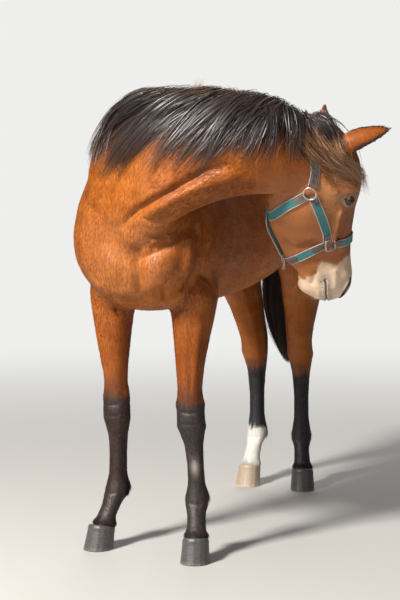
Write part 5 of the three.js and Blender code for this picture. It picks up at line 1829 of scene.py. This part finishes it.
def hair_lengths(places):
    """How long the coat is at places on the hide, in metres."""
    on_head = to_head(places)
    length = LEG_HAIR + (BODY_HAIR - LEG_HAIR) * smoothstep(0.55, 0.75, places[:, 2])
    face = np.interp(on_head[:, 2], [-520, -430, -150, 20],
                     [MUZZLE_HAIR, FACE_HAIR, FACE_HAIR, POLL_HAIR])
    length = np.where(within_head(on_head, 20), face, length)
    for foot in FEET:
        limb = on_leg(foot, places)
        on = limb[:, 0] < FAR / 2
        coronet = on * smoothstep(28, 8, limb[:, 2] - hoof_tops[foot])
        fetlock = on * behind_fetlock(limb, 0.1)
        length = length + coronet * (CORONET_HAIR - LEG_HAIR) + fetlock * (FETLOCK_HAIR - LEG_HAIR)
    ears = on_ear("ear_left", places) + on_ear("ear_right", places) > 0.3
    return np.where(ears, EAR_HAIR, length)


hoof_tops = {foot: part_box("hoof_" + foot)[1][2] * 1000 for foot in FEET}
hide.calc_loop_triangles()
corners = np.empty(len(hide.loop_triangles) * 3, dtype=np.int32)
hide.loop_triangles.foreach_get("vertices", corners)
corners = corners.reshape(-1, 3)
first, second, third = (co[corners[:, k]] for k in range(3))
areas = np.linalg.norm(np.cross(second - first, third - first), axis=1) / 2
centres = co[corners].mean(axis=1)
centre_drawn, centre_head = to_drawing(centres), to_head(centres)
bald = bare[corners].max(axis=1) > NO_HAIR


def blades(name, weights, count, seed, length_scale=1.0, rise=BLADE_RISE, width=None, ways=None):
    """A coat piece: count blades rooted on the hide's faces, as often as the faces weigh."""
    dice = np.random.default_rng(seed)
    weights = weights * ~bald * areas
    chosen = dice.choice(len(weights), count, p=weights / weights.sum())
    share = dice.random((count, 2))
    share = np.where((share.sum(axis=1) > 1)[:, None], 1 - share, share)
    first, second, third = (co[corners[chosen, k]] for k in range(3))
    roots = first + (second - first) * share[:, :1] + (third - first) * share[:, 1:]
    outward = normals[corners[chosen]].mean(axis=1)
    outward /= np.linalg.norm(outward, axis=1)[:, None]
    lie = lie_ways(roots, outward) if ways is None else ways(roots, outward)
    aside = np.cross(outward, lie)
    lie = lie + aside * dice.normal(0, 0.16, count)[:, None]
    lie /= np.linalg.norm(lie, axis=1)[:, None]
    aside = np.cross(outward, lie)
    length = (hair_lengths(roots) * length_scale * dice.uniform(0.7, 1.25, count))[:, None]
    half = 0.5 * (0.13 * length + 0.0002 if width is None else np.full((count, 1), width))
    up = rise * dice.uniform(0.5, 1.5, count)[:, None]
    points = np.empty((count, 5, 3))
    base = roots - outward * 0.0005
    points[:, 0], points[:, 1] = base - aside * half, base + aside * half
    middle = roots + (lie + outward * up * 1.3) * length * 0.5
    points[:, 2], points[:, 3] = middle - aside * half * 0.8, middle + aside * half * 0.8
    points[:, 4] = roots + (lie + outward * up * 0.85) * length
    tints, _, _ = coat_colours(roots, outward)
    tints = tints * dice.uniform(0.82, 1.16, count)[:, None]
    start = np.arange(count)[:, None] * 5
    faces = (start[:, :, None] + np.array([[0, 1, 3], [0, 3, 2], [2, 3, 4]])).reshape(-1, 3)
    chart = map_places(roots, outward)[:, None, :] + HAIR_PATCH * np.array(
        [[0, 0], [1, 0], [0.1, 0.5], [0.9, 0.5], [0.5, 1]])
    mesh = blade_mesh(name, points.reshape(-1, 3), faces, np.repeat(tints, 5, axis=0),
                      chart.reshape(-1, 2), "coat_colour")
    mesh.materials.append(tuft_material)
    piece = new_object(name, mesh)
    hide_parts(*FLESH)


head_faces = within_head(centre_head, 10)
ear_faces = on_ear("ear_left", centres) + on_ear("ear_right", centres) > 0.3
low_legs = centres[:, 2] < 0.74
body = ~head_faces & ~ear_faces & ~low_legs
back = centre_drawn[:, 1]
fore, front, quarters = back < 400, back < 120, back >= 780
blades("coat_head", 1.0 * head_faces + 1.2 * head_faces * (centre_head[:, 2] < -420), 56000, 51)
blades("coat_ears", 1.0 * ear_faces, 9000, 52)
blades("coat_front", 1.0 * (body & front), 60000, 53)
blades("coat_barrel", 1.0 * (body & ~front & ~quarters), 46000, 54)
blades("coat_quarters", 1.0 * (body & quarters), 46000, 55)
blades("coat_forelegs", 1.0 * (low_legs & fore), 34000, 56)
blades("coat_hindlegs", 1.0 * (low_legs & ~fore), 34000, 57)

# Thicker edges: the fringe of each ear, the hair over each coronet and behind each fetlock.
fringe = np.zeros(len(centres))
for ear in EARS:
    fringe += on_ear(ear, centres) * ear_edge(*ear_frame(ear, centres))
blades("ear_fringe", fringe, 5200, 58, length_scale=2.6, rise=0.25)
coronets = np.zeros(len(centres))
for foot in FEET:
    limb = on_leg(foot, centres)
    on = limb[:, 0] < FAR / 2
    coronets += on * smoothstep(20, 4, limb[:, 2] - hoof_tops[foot])
    coronets += 0.5 * on * behind_fetlock(limb, 0.0)
blades("fetlock_hair", coronets, 14000, 59, rise=0.22, width=0.0011)

# Fine whiskers on the chin and lips, and lashes on the upper lids.
whisker_places = head_faces * (centre_head[:, 2] < -520) * (centre_head[:, 1] > 0)


def hanging(roots, outward):
    ways = outward * 0.9 + np.array([0, 0, -0.8])
    return ways / np.linalg.norm(ways, axis=1)[:, None]


blades("whiskers", 1.0 * whisker_places, 150, 60, length_scale=9, rise=0.1, width=0.0005,
       ways=hanging)
lid_over = lid_gap(mirrored(centre_head))
above_eye = (mirrored(centre_head) - EYE_MIDDLE) @ lid_up > 3


def lashing(roots, outward):
    side = np.sign(to_head(roots)[:, :1])
    ways = np.where(side < 0, [head_way(-1, -0.15, -0.35)], [head_way(1, -0.15, -0.35)])
    return ways / np.linalg.norm(ways, axis=1)[:, None]


lashes = (lid_over > 0) & (lid_over < 3.5) & above_eye
bald[:] = False  # the rims of the lids are bare, but the lashes stand on them
blades("lashes", 1.0 * lashes, 110, 61, length_scale=2.6, rise=0.05, width=0.0006, ways=lashing)

# ---- Sizes -----------------------------------------------------------------------------------
low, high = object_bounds()
